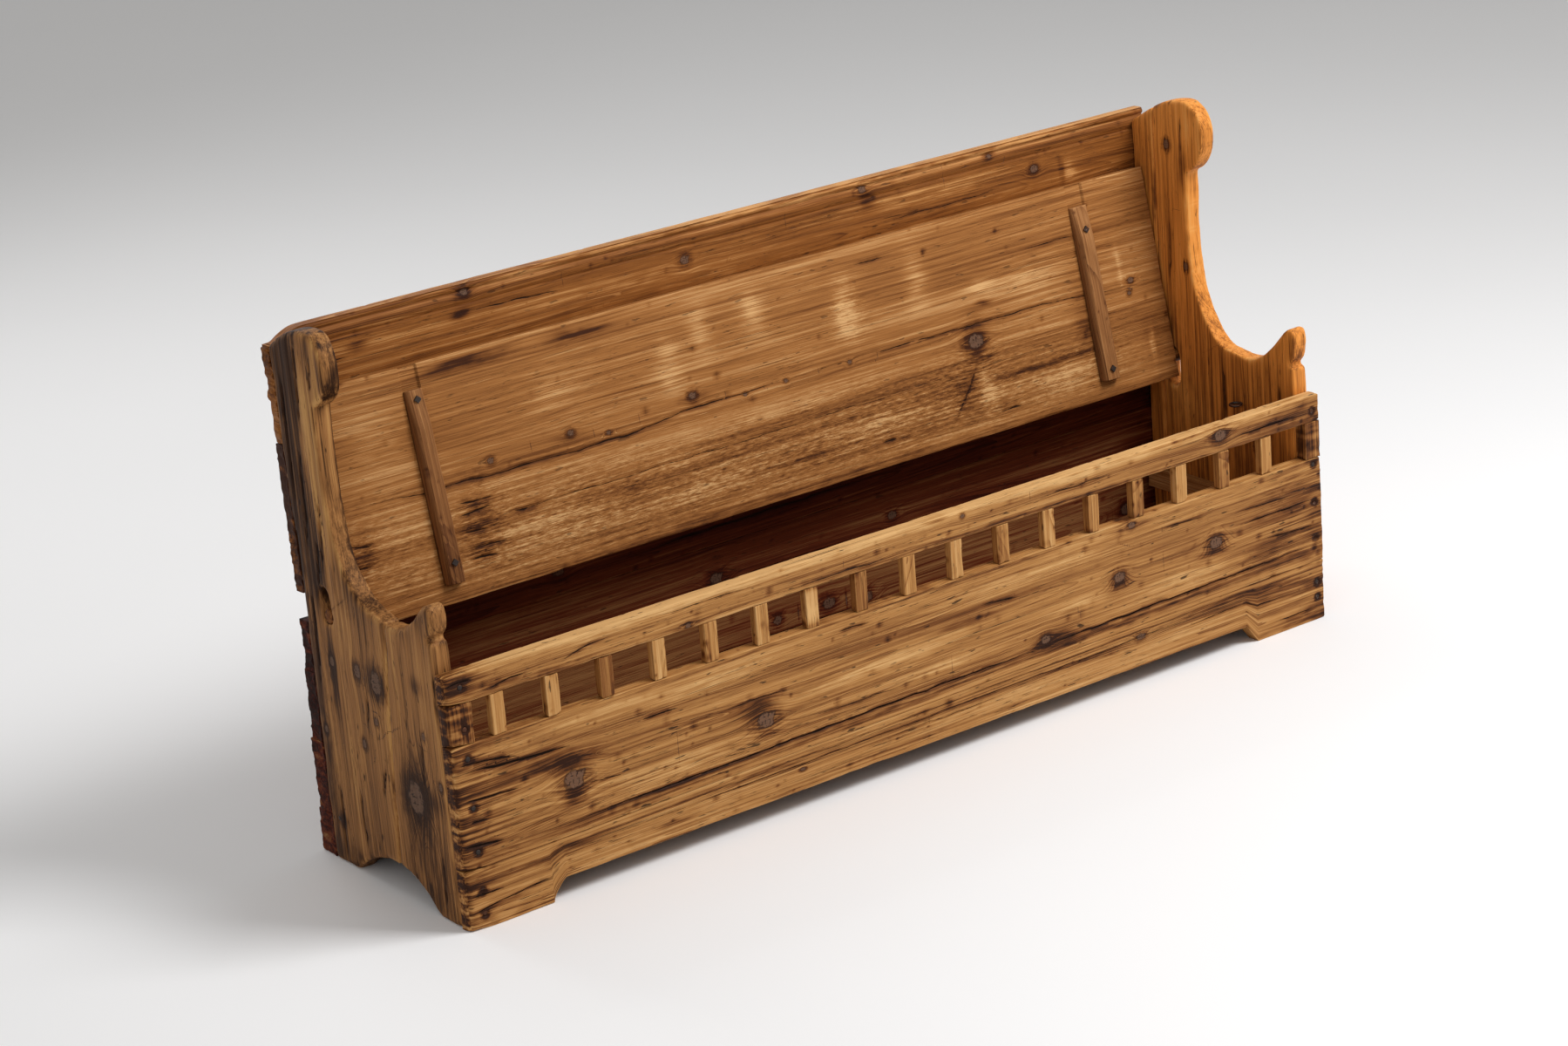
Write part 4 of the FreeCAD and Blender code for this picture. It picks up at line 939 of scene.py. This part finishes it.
# Marks of the top board: (along, up), with the top edge at 438.5
TOP_MARKS = marks(
    knots=[(-540, 424, 7), (-117, 382, 9), (259, 421, 7), (637, 379, 8), (540, 421, 4)],
    splits=[([(-552, 391), (-365, 388)], 2.0, 2), ([(-896, 398), (-800, 402)], 3.0, 4),
            ([(-892, 370), (-760, 372)], 2.4, 3), ([(-890, 418), (-840, 416)], 2.4, 3),
            ([(300, 356), (560, 360)], 1.3, 2)],
    dark=[(-552, 391, 14, 7, 1.0), (269, 400, 16, 14, 0.8), (540, 424, 12, 8, 1.0),
          (-540, 424, 16, 10, 0.9), (-745, 383, 16, 8, 0.8), (-860, 400, 50, 26, 0.8),
          (700, 359, 6, 20, 0.7), (0, 338, 900, 8, 0.4)],
    # The pale bands at 434, along the top bead, are painted highlight.
    pale=[(718, 359, 16, 22, 0.7), (-300, 434, 240, 5, 0.7), (150, 434, 240, 5, 0.7),
          (600, 434, 240, 5, 0.7), (-240, 370, 160, 10, 0.4), (420, 388, 160, 9, 0.4)])


class SETTLE_OT_back(bpy.types.Operator):
    """Make the moulded top board and the other planks of the back"""
    bl_idname = "settle.back"
    bl_label = "Back"

    def execute(self, context):
        pine = material("back_pine")
        dark = material("inner_pine")
        low, high = upright_box("back_top_board", BACK_LEAN)
        base = high[2] / MM - 438.5
        fine = high[2] - np.arange(0, 38, 0.7) * MM
        # The board's upward faces are painted paler as well: a painted highlight.
        board("back_top_board", pine, "back_wood", lean=BACK_LEAN, extra=((), (), fine),
              steps=(6, 6, 5), shape=moulding, dents=110, seed=41,
              kept=placed(TOP_MARKS, base), top_highlight=0.4,
              nails=BACK_NAILS, pith=(base + 352, 14, 0.0, 0.025))
        for number, name in enumerate(("back_middle_board", "back_lower_board")):
            board(name, pine, "back_wood", lean=BACK_LEAN, steps=(9, 9, 5), dents=80,
                  seed=42 + number, nails=BACK_NAILS, shape=ragged_ends, dirt=rear_dirt,
                  kept=marks(knots=[(-520 + 700 * number, 560 - 130 * number, 12),
                                    (310, 600 - 110 * number, 9)]),
                  pith=(600 - 100 * number, 20, 0.01, 0.02), tone=-0.16)
        names = ("back_fourth_plank", "back_third_plank", "back_second_plank",
                 "back_floor_plank")
        for number, name in enumerate(names):
            low, high = upright_box(name)
            middle = 500 * (low[2] + high[2])
            kept = marks(
                knots=[(110, 147, 12), (798, 136, 12), (-430 + 310 * number, middle, 13),
                       (520 - 260 * number, middle + 12, 9)],
                splits=[([(-896, middle + 8), (-760, middle + 4)], 3, 5),
                        ([(-894, middle - 20), (-800, middle - 22)], 2.4, 4),
                        ([(-300, middle - 14), (260, middle - 10)], 1.8, 3)])
            # Each plank is darker the higher it stands, by its tone: painted shade under the lid.
            board(name, dark, "back_wood", steps=(8, 8, 4), dents=90, seed=45 + number,
                  kept=kept, nails=BACK_NAILS, shape=ragged_ends, dirt=rear_dirt,
                  pith=(middle - 20, 24, 0.02, 0.02), tone=-0.06 + 0.13 * number)
        return {"FINISHED"}


# Lid

def groove_shape(centres):
    """A cross groove for each batten, pressed into the face that looks out when the lid is open."""
    def shape(points, way, low, high, start):
        """Points of the front face within a batten's width go in by the groove's depth."""
        face = start[:, 1] < low[1] + MM
        bent = points.copy()
        for centre, width, bottom in centres:
            inside = abs(start[:, 0] - centre) < width / 2 + 0.3 * MM
            inside &= start[:, 2] > bottom
            bent[:, 1] += np.where(face & inside, 4 * MM, 0)
        return bent
    return shape


# Marks of the lid: (along, up from the pivot line)
LID_MARKS = marks(
    knots=[(-565, 165, 6), (-410, 172, 6), (-340, 155, 4), (-168, 175, 7), (-65, 152, 4),
           (20, 155, 4), (155, 155, 4), (425, 128, 15), (790, 155, 6), (782, 133, 4)],
    splits=[
            ([(-840, 157), (-690, 143), (-640, 145), (-420, 141), (-300, 143), (-190, 155),
               (100, 157)], 1.8, 2.5),
            ([(60, 157), (330, 157), (620, 156), (800, 143)], 1.4, 2),
            ([(-650, 76), (-200, 78), (300, 80)], 1.0, 1.2), ([(-540, 75), (-495, 76)], 3.0, 3),
            ([(200, 312), (270, 311)], 2, 2), ([(190, 4), (222, 5)], 2.4, 2),
            ([(448, -5), (502, -4)], 2.4, 2), ([(352, 4), (392, 48), (424, 92)], 2.2, 3),
            ([(-640, 112), (-568, 108)], 2.2, 3), ([(-640, 92), (-580, 96)], 2.6, 3),
            ([(-642, 66), (-596, 62)], 2.2, 3), ([(-640, 40), (-560, 34)], 2.4, 3),
            ([(-640, 22), (-584, 18)], 2.0, 3), ([(-850, 96), (-800, 88)], 2, 2),
            ([(-852, 60), (-806, 56)], 2, 2), ([(560, 262), (700, 258)], 1, 1.5)],
    dark=[(425, 118, 22, 44, 0.7), (385, 40, 26, 30, 0.5), (455, 187, 16, 5, 0.9),
          (350, 302, 4, 4, 1.2), (512, 305, 4, 4, 1.2), (-570, 326, 80, 8, 0.8),
          (-355, 326, 50, 8, 0.8), (-610, 70, 34, 56, 0.5), (-826, 78, 26, 30, 0.5),
          (0, -34, 900, 7, 0.5), (-520, 76, 24, 5, 0.7), (820, 40, 30, 60, 0.3),
          (-168, 168, 30, 8, 0.5), (-410, 165, 30, 8, 0.5), (670, 100, 22, 90, 0.35),
          (0, 20, 120, 8, 0.4), (-300, 48, 120, 8, 0.4), (560, 52, 100, 7, 0.4)],
    pale=[(170, 236, 24, 46, 0.9), (430, 45, 18, 34, 0.9), (460, 217, 26, 12, 0.8),
          (770, 186, 5, 32, 0.7), (815, 30, 5, 28, 0.7), (-200, 230, 26, 50, 0.5),
          (-130, 275, 24, 44, 0.5), (-20, 280, 24, 30, 0.6), (325, 260, 24, 50, 0.5),
          (-420, 250, 60, 30, 0.4), (-760, 230, 50, 60, 0.35), (-480, 40, 130, 24, 0.45),
          (-150, 20, 150, 20, 0.5), (180, 36, 130, 22, 0.5), (620, 20, 90, 22, 0.5),
          (70, 110, 160, 14, 0.4), (560, 210, 70, 34, 0.4), (-330, 112, 150, 14, 0.4)],
    rough=[(-450, 40, 240, 70, 0.9), (-60, 40, 240, 66, 0.9), (260, 40, 180, 66, 0.9),
           (600, 40, 180, 62, 0.8), (-780, 60, 90, 90, 0.5), (410, 60, 60, 60, 1.0),
           (-600, 70, 44, 70, 1.2), (170, 240, 40, 50, 0.7), (-830, 80, 40, 50, 0.8)])


class SETTLE_OT_lid(bpy.types.Operator):
    """Make the lid's board, its tenons and its battens"""
    bl_idname = "settle.lid"
    bl_label = "Lid"

    def execute(self, context):
        pine = material("lid_pine")
        centres = []
        for name in ("lid_batten_left", "lid_batten_right"):
            low, high = upright_box(name, LID_LEAN)
            centres.append(((low[0] + high[0]) / 2, high[0] - low[0], low[2] - MM))
        walls = [centre + side * (width / 2 + gap * MM)
                 for centre, width, _ in centres for side in (-1, 1) for gap in (0, 0.6)]
        low, high = upright_box("lid_board", LID_LEAN)
        half = CAD_HIGH[0] - 37 * MM
        pivot = np.array(LID_JOINT["pos_m"])
        zero = leaned(pivot[None], -LID_LEAN)[0, 2] / MM
        box = (np.array([-half, low[1], low[2]]), np.array([half, high[1], high[2]]))
        self.lid_board(pine, box, walls, centres, zero)
        for side in (-1, 1):
            self.tenon(side, pivot, half, pine)
        batten_pine = material("batten_pine")
        for number, name in enumerate(("lid_batten_left", "lid_batten_right")):
            self.batten(name, batten_pine, 55 + number)
        return {"FINISHED"}

    def lid_board(self, pine, box, walls, centres, zero):
        """The one wide plank, with the heart of the tree along its middle."""
        board("lid_board", pine, "lid_wood", lean=LID_LEAN, body="lid", steps=(6, 6, 2.6),
              extra=(walls, (), ()), shape=groove_shape(centres), dents=150, seed=51, arris=1.5,
              kept=placed(LID_MARKS, zero), box=box, pith=(zero + 152, 8, 0.0, 0.0), fur=1.6)

    def tenon(self, side, pivot, half, pine):
        """A round tenon: rings of radius r(x), closed at the end by a shrinking ring."""
        reach = CAD_HIGH[0] - 3 * MM
        across = np.linspace(0, 2 * np.pi, 41)[:-1]
        stations = np.array([half - 30 * MM, half, reach - 3 * MM, reach - MM, reach, reach])
        radii = np.array([12.4, 12.4, 12.4, 11.8, 10.5, 0.2]) * MM
        angle, station = np.meshgrid(across, np.arange(len(stations)), indexing="ij")
        lumpy = 1 - 0.03 * rough_noise(np.stack([angle, station * 0.3, angle * 0], -1), 0.7, 4)
        radius = radii[station] * lumpy
        points = np.stack([
            side * stations[station], pivot[1] + radius * np.cos(angle),
            pivot[2] + radius * np.sin(angle)], axis=-1).reshape(-1, 3)
        ids = np.arange(angle.size).reshape(angle.shape)
        turn = np.roll(ids, -1, axis=0)
        faces = np.stack([ids[:, :-1], ids[:, 1:], turn[:, 1:], turn[:, :-1]], -1).reshape(-1, 4)
        faces = faces if side < 0 else faces[:, ::-1]
        way = np.tile([1.0, 0, 0], (len(points), 1))
        fields = grain_fields(
            points, way, points.min(0), points.max(0), "X", 60, -0.2, marks(), (430, 12, 0, 0))[0]
        fields["dirt"] = np.full(len(points), 0.25)
        name = "lid_tenon_left" if side < 0 else "lid_tenon_right"
        new_piece(name, points, faces, "lid", [], pine, fields)

    def batten(self, name, pine, seed):
        """A batten: its section is a chamfered block, lower towards the lid's front edge."""
        def shape(points, way, low, high, start):
            """The face slopes in towards the top, and the long edges are chamfered."""
            out = np.clip((high[1] - start[:, 1]) / (high[1] - low[1]), 0, 1)
            taper = 8 * MM * np.clip((start[:, 2] - (high[2] - 60 * MM)) / (60 * MM), 0, 1)
            centre = (low[0] + high[0]) / 2
            side = (start[:, 0] - centre) / ((high[0] - low[0]) / 2)
            chamfer = 5 * MM * step_up(out, 0.6, 1.0)
            bent = points.copy()
            bent[:, 1] += taper * out
            bent[:, 0] -= side * chamfer
            return bent
        low, high = upright_box(name, LID_LEAN)
        middle, bottom, top = 500 * (low[0] + high[0]), low[2] / MM, high[2] / MM
        kept = marks(
            splits=[([(bottom + 60, middle - 3), (bottom + 210, middle + 2)], 1.2, 1.5)],
            # The last dark spot, at the lower end, is painted shade of the hollow under the
            # batten's end.
            dark=[(bottom + 22, middle, 16, 14, 0.5), (top - 22, middle, 16, 14, 0.5),
                  (bottom + 2, middle, 6, 20, 1.0)],
            pale=[(bottom + 150, middle + 7, 110, 4, 0.5)])
        board(name, pine, "batten_wood", along="Z", lean=LID_LEAN, body="lid", steps=(3, 4, 4),
              arris=1.2, dents=20, seed=seed, shape=shape, kept=kept,
              pith=(middle + 60, 20, 0.0, 0.0))


# Side panels


# Marks of the left panel: (back from the front face, up)
LEFT_MARKS = marks(
    knots=[(206, 352, 18), (261, 358, 11), (122, 186, 26), (339, 354, 8), (219, 286, 6),
           (266, 236, 7), (384, 228, 6), (43, 228, 6), (78, 301, 6)],
    splits=[([(205, 216), (222, 157)], 2.2, 3), ([(272, 475), (328, 439)], 1, 1),
            ([(60, 120), (66, 20)], 2.0, 3), ([(150, 60), (148, 2)], 1.8, 3),
            ([(300, 160), (296, 40)], 1.8, 3), ([(362, 150), (366, 10)], 2.4, 4),
            ([(340, 560), (352, 470)], 2.4, 4), ([(362, 700), (372, 520)], 3.0, 5),
            ([(318, 640), (332, 500)], 2.2, 4), ([(396, 820), (392, 600)], 3, 5),
            ([(340, 880), (350, 740)], 3.0, 5), ([(374, 470), (384, 300)], 3, 5),
            ([(296, 860), (306, 790)], 2.2, 3), ([(88, 300), (92, 210)], 1.4, 2),
            ([(240, 330), (246, 250)], 1.4, 2), ([(30, 420), (34, 330)], 2, 3),
            ([(408, 600), (402, 440)], 2.6, 4)],
    dark=[(339, 330, 60, 12, 0.9), (206, 352, 30, 26, 0.5), (122, 186, 60, 36, 0.7),
          (78, 196, 20, 40, 0.6), (84, 381, 14, 16, 0.7), (365, 76, 12, 12, 0.9),
          (100, 60, 90, 70, 0.45), (394, 300, 300, 14, 0.8), (404, 700, 220, 18, 0.9),
          (345, 640, 160, 12, 0.6), (330, 860, 40, 30, 0.6), (380, 860, 40, 24, 0.8),
          (10, 220, 260, 8, 0.6), (364, 500, 60, 20, 0.8), (250, 20, 20, 160, 0.5)],
    pale=[(290, 420, 60, 30, 0.35), (300, 200, 100, 30, 0.3), (320, 560, 80, 9, 0.7),
          (338, 760, 90, 9, 0.7), (60, 350, 60, 20, 0.25)])


# Marks of the right panel: (back from the front face, up)
RIGHT_MARKS = marks(
    knots=[(292, 602, 7), (120, 300, 9), (330, 820, 8)],
    splits=[([(206, 440), (202, 330)], 1.5, 2), ([(330, 700), (334, 560)], 1.5, 2),
            ([(120, 250), (118, 100)], 1.8, 3), ([(60, 430), (64, 360)], 1.8, 3),
            ([(290, 880), (296, 800)], 1.6, 2)],
    dark=[(210, 200, 260, 220, 0.3), (292, 780, 40, 10, 0.6), (26, 490, 30, 12, 0.6),
          (330, 470, 60, 30, 0.4)],
    pale=[(150, 470, 14, 60, 0.5), (270, 860, 30, 12, 0.5)])


class SETTLE_OT_sides(bpy.types.Operator):
    """Make the worn side panels with their horns and ears"""
    bl_idname = "settle.sides"
    bl_label = "Side panels"

    def execute(self, context):
        pine = material("side_pine")
        front_y = CAD_LOW[1] / MM
        left = placed(LEFT_MARKS, front_y, True)
        right = placed(RIGHT_MARKS, front_y, True)
        honey = material("right_pine")
        for node, wood, kept, seed, tone, place, depth, sink in (
                ("left_side_front_board", pine, left, 71, -0.02, 110, 20, 0.02),
                ("left_side_rear_board", pine, left, 72, 0.0, 300, 26, 0.02),
                ("right_side_board", honey, right, 73, 0.0, 180, 30, 0.02),
                ("right_side_rear_strip", honey, right, 74, -0.03, 390, 30, 0.0)):
            self.panel(node, wood, kept, seed, tone, (front_y + place, depth, 0.0, sink))
        return {"FINISHED"}

    def panel(self, node, pine, kept, seed, tone, pith):
        """A panel board: the CAD solid cut into even cells, its edges eased by smoothing.

        Each pass moves a point towards the mean of its neighbours by a share that wanders with
        noise, so edges wear round unevenly while flat faces stay.
        """
        copy = bpy.data.objects.new(node + "_copy", frame["nodes"][node].data.copy())
        bpy.context.scene.collection.objects.link(copy)
        weld = copy.modifiers.new("weld", "WELD")
        weld.merge_threshold = 0.02 * MM
        cells = copy.modifiers.new("cells", "REMESH")
        cells.mode = "VOXEL"
        cells.voxel_size = 3.4 * MM
        seen = copy.evaluated_get(bpy.context.evaluated_depsgraph_get())
        mesh = bpy.data.meshes.new_from_object(seen)
        bpy.data.objects.remove(copy)
        points = np.empty(len(mesh.vertices) * 3)
        mesh.vertices.foreach_get("co", points)
        points = points.reshape(-1, 3)
        faces = np.empty(len(mesh.polygons) * 4, dtype=np.int64)
        mesh.polygons.foreach_get("vertices", faces)
        faces = faces.reshape(-1, 4)
        edges = np.empty(len(mesh.edges) * 2, dtype=np.int64)
        mesh.edges.foreach_get("vertices", edges)
        edges = edges.reshape(-1, 2)
        bpy.data.meshes.remove(mesh)
        low, high = upright_box(node)
        start = points.copy()
        count = np.bincount(edges.ravel(), minlength=len(points))[:, None]
        uneven = rough_noise(start, (30 * MM, 30 * MM, 60 * MM), seed)
        share = (0.25 + 0.75 * step_up(uneven, 0.3, 0.7))[:, None]
        for _ in range(7):
            total = np.zeros_like(points)
            np.add.at(total, edges[:, 0], points[edges[:, 1]])
            np.add.at(total, edges[:, 1], points[edges[:, 0]])
            points += share * (total / count - points)
        moved = np.linalg.norm(points - start, axis=1)
        way = self.ways(points, faces)
        wave = rough_noise(start, (60 * MM, 60 * MM, 200 * MM), seed + 5) * wear().wave
        outer = start[:, 0] < CAD_LOW[0] + 2 * MM
        high_up = step_up(start[:, 2], 0.42, 0.56) * (start[:, 0] < 0)
        ridges = noise(start, (9 * MM, 7 * MM, 160 * MM), seed + 9) * (0.5 + 1.3 * high_up) * MM
        fields, press, dark = grain_fields(start, way, low, high, "Z", seed, tone, kept, pith)
        points = points - way * (wave + ridges * outer + press)[:, None]
        fields["edge"] = np.clip(moved / (1.4 * MM), 0, 1)
        old = rough_noise(start, (26 * MM, 20 * MM, 240 * MM), seed + 3)
        weather = 0.9 * step_up(old, 0.42, 0.62) * high_up
        ends = step_up(start[:, 0] - CAD_LOW[0], 4 * MM, 12 * MM) * (start[:, 0] < 0)
        fields["dirt"] = np.clip(dark + weather + 0.25 * ends * fields["edge"], 0, 1)
        fields["tone"] = fields["tone"] + 0.16 * high_up * outer
        new_piece(node + "_wood", points, faces, "bench", [node], pine, fields)

    def ways(self, points, faces):
        """The way out of the wood at each point: the sum of its faces' normals."""
        one, two, three, four = (points[faces[:, k]] for k in range(4))
        normal = np.cross(three - one, four - two)
        total = np.zeros_like(points)
        for k in range(4):
            np.add.at(total, faces[:, k], normal)
        return total / np.maximum(np.linalg.norm(total, axis=1, keepdims=True), 1e-12)


# Inside and iron

class SETTLE_OT_inside(bpy.types.Operator):
    """Make the floor boards and the cleats inside the box"""
    bl_idname = "settle.inside"
    bl_label = "Inside"

    def execute(self, context):
        dark = material("inner_pine")
        for number, name in enumerate(
                ("floor_board_front", "floor_board_middle", "floor_board_rear")):
            place = 1000 * (upright_box(name)[0][1] + upright_box(name)[1][1]) / 2
            kept = marks(knots=[(300 - 400 * number, place, 11), (-620 + 260 * number, place, 9)])
            board(name, dark, "inner_wood", along="F", steps=(9, 5, 8), dents=60,
                  seed=80 + number, kept=kept, pith=(place + 60, 20, 0.0, 0.0), tone=0.26)
        for number, name in enumerate(("floor_cleat_left", "floor_cleat_right")):
            board(name, dark, "inner_wood", along="Y", steps=(8, 8, 8), seed=84 + number)
        board("till_cleat_right", material("lid_pine"), "inner_wood", along="Y", steps=(5, 6, 5),
              seed=86, tone=0.1)
        return {"FINISHED"}


class SETTLE_OT_iron(bpy.types.Operator):
    """Give the nails and the eye their iron"""
    bl_idname = "settle.iron"
    bl_label = "Iron"

    def execute(self, context):
        iron = material("forged_iron")
        for name in ("front_nails", "back_nails", "cleat_nails", "side_nail", "batten_nails",
                     "iron_eye"):
            mesh = frame["nodes"][name].data
            mesh.materials.clear()
            mesh.materials.append(iron)
        return {"FINISHED"}


# Stage

class SETTLE_OT_stage(bpy.types.Operator):
    """Set the floor, the soft lamps and the camera"""
    bl_idname = "settle.stage"
    bl_label = "Stage"

    def execute(self, context):
        scene = context.scene
        reach = 14.0
        mesh = bpy.data.meshes.new("floor")
        mesh.from_pydata([(-reach, -reach, 0), (reach, -reach, 0), (reach, reach, 0),
                          (-reach, reach, 0)], [], [(0, 1, 2, 3)])
        mesh.materials.append(self.floor_material())
        floor = bpy.data.objects.new("floor", mesh)
        scene.collection.objects.link(floor)
        self.world(scene)
        self.lamp("key", (1.9, -2.3, 4.1), (0.1, 0, 0.3), 2.0, 182)
        self.lamp("fill", (-3.8, -3.0, 2.2), (-0.2, 0, 0.4), 3.0, 22)
        self.lamp("rim", (-0.5, 3.4, 3.0), (0, 0, 0.5), 2.5, 36)
        self.camera(scene)
        scene.view_settings.view_transform = "Standard"
        return {"FINISHED"}

    def floor_material(self):
        """A plain floor that looks pale to the camera and keeps the shadow of the bench."""
        g = Graph("floor")
        place = g.node("ShaderNodeTexCoord").outputs["Object"]
        mottle = g.noise(place, (0.8, 0.8, 0.8), 2.0)
        base = g.mix(g.ramp(mottle, 0.3, 0.7, 0.0, 0.04), colour("floor"), (0.7, 0.7, 0.7, 1))
        return g.finish(base, 0.75, mottle, 0.0001, 0.05)

    def world(self, scene):
        """Soft even light from all round, and a white background where a ray leaves the stage."""
        world = bpy.data.worlds.new("studio")
        scene.world = world
        world.use_nodes = True
        tree = world.node_tree
        tree.nodes.clear()
        path = tree.nodes.new("ShaderNodeLightPath")
        seen = tree.nodes.new("ShaderNodeMath")
        seen.operation = "MAXIMUM"
        tree.links.new(path.outputs["Is Camera Ray"], seen.inputs[0])
        tree.links.new(path.outputs["Is Glossy Ray"], seen.inputs[1])
        either = tree.nodes.new("ShaderNodeMath")
        either.operation = "MAXIMUM"
        tree.links.new(seen.outputs[0], either.inputs[0])
        tree.links.new(path.outputs["Is Transmission Ray"], either.inputs[1])
        soft = tree.nodes.new("ShaderNodeBackground")
        soft.inputs["Color"].default_value = (1.0, 0.98, 0.95, 1)
        soft.inputs["Strength"].default_value = 0.34
        white = tree.nodes.new("ShaderNodeBackground")
        white.inputs["Color"].default_value = (1, 1, 1, 1)
        white.inputs["Strength"].default_value = 1.0
        mixed = tree.nodes.new("ShaderNodeMixShader")
        output = tree.nodes.new("ShaderNodeOutputWorld")
        tree.links.new(either.outputs[0], mixed.inputs[0])
        tree.links.new(soft.outputs[0], mixed.inputs[1])
        tree.links.new(white.outputs[0], mixed.inputs[2])
        tree.links.new(mixed.outputs[0], output.inputs[0])

    def lamp(self, name, place, aim, size, power):
        """A square soft lamp that looks at a point."""
        data = bpy.data.lights.new(name, "AREA")
        data.size = size
        data.energy = power
        lamp = bpy.data.objects.new(name, data)
        bpy.context.scene.collection.objects.link(lamp)
        lamp.location = place
        way = np.array(aim) - np.array(place)
        flat = math.hypot(way[0], way[1])
        lamp.rotation_euler = (math.atan2(flat, -way[2]), 0, math.atan2(-way[0], way[1]))

    def camera(self, scene):
        """The photograph's own viewpoint, found from the bench's edges."""
        data = bpy.data.cameras.new("camera")
        data.sensor_fit = "HORIZONTAL"
        data.angle = 2 * math.atan(PHOTO_WIDTH / 2 / FOCAL_PIXELS)
        data.clip_start = 0.1
        data.clip_end = 60
        camera = bpy.data.objects.new("camera", data)
        scene.collection.objects.link(camera)
        camera.location = CAMERA_PLACE
        camera.rotation_euler = tuple(math.radians(turn) for turn in CAMERA_TURN)
        scene.camera = camera


class SETTLE_PT_panel(bpy.types.Panel):
    """Lists the steps and the sizes in the 3D view's sidebar"""
    bl_idname = "SETTLE_PT_panel"
    bl_label = "Settle Bench"
    bl_space_type = "VIEW_3D"
    bl_region_type = "UI"
    bl_category = "Settle"

    def draw(self, context):
        layout = self.layout
        for operator in OPERATORS:
            layout.operator(operator.bl_idname)
        for group in (context.scene.settle_wear, context.scene.settle_colours):
            for name in group.bl_rna.properties.keys():
                if name not in ("rna_type", "name"):
                    layout.prop(group, name)


OPERATORS = (SETTLE_OT_front, SETTLE_OT_gallery, SETTLE_OT_back, SETTLE_OT_lid, SETTLE_OT_sides,
             SETTLE_OT_inside, SETTLE_OT_iron, SETTLE_OT_stage)
CLASSES = (SettleWear, SettleColours) + OPERATORS + (SETTLE_PT_panel,)


def register():
    """Register every class and hang the settings on the scene."""
    for item in CLASSES:
        bpy.utils.register_class(item)
    bpy.types.Scene.settle_wear = PointerProperty(type=SettleWear)
    bpy.types.Scene.settle_colours = PointerProperty(type=SettleColours)


def unregister():
    """Take the settings and the classes away again."""
    del bpy.types.Scene.settle_colours
    del bpy.types.Scene.settle_wear
    for item in reversed(CLASSES):
        bpy.utils.unregister_class(item)


def main():
    """Make every piece in order."""
    register()
    for operator in OPERATORS:
        group, name = operator.bl_idname.split(".")
        getattr(getattr(bpy.ops, group), name)()


if __name__ == "__main__":
    main()
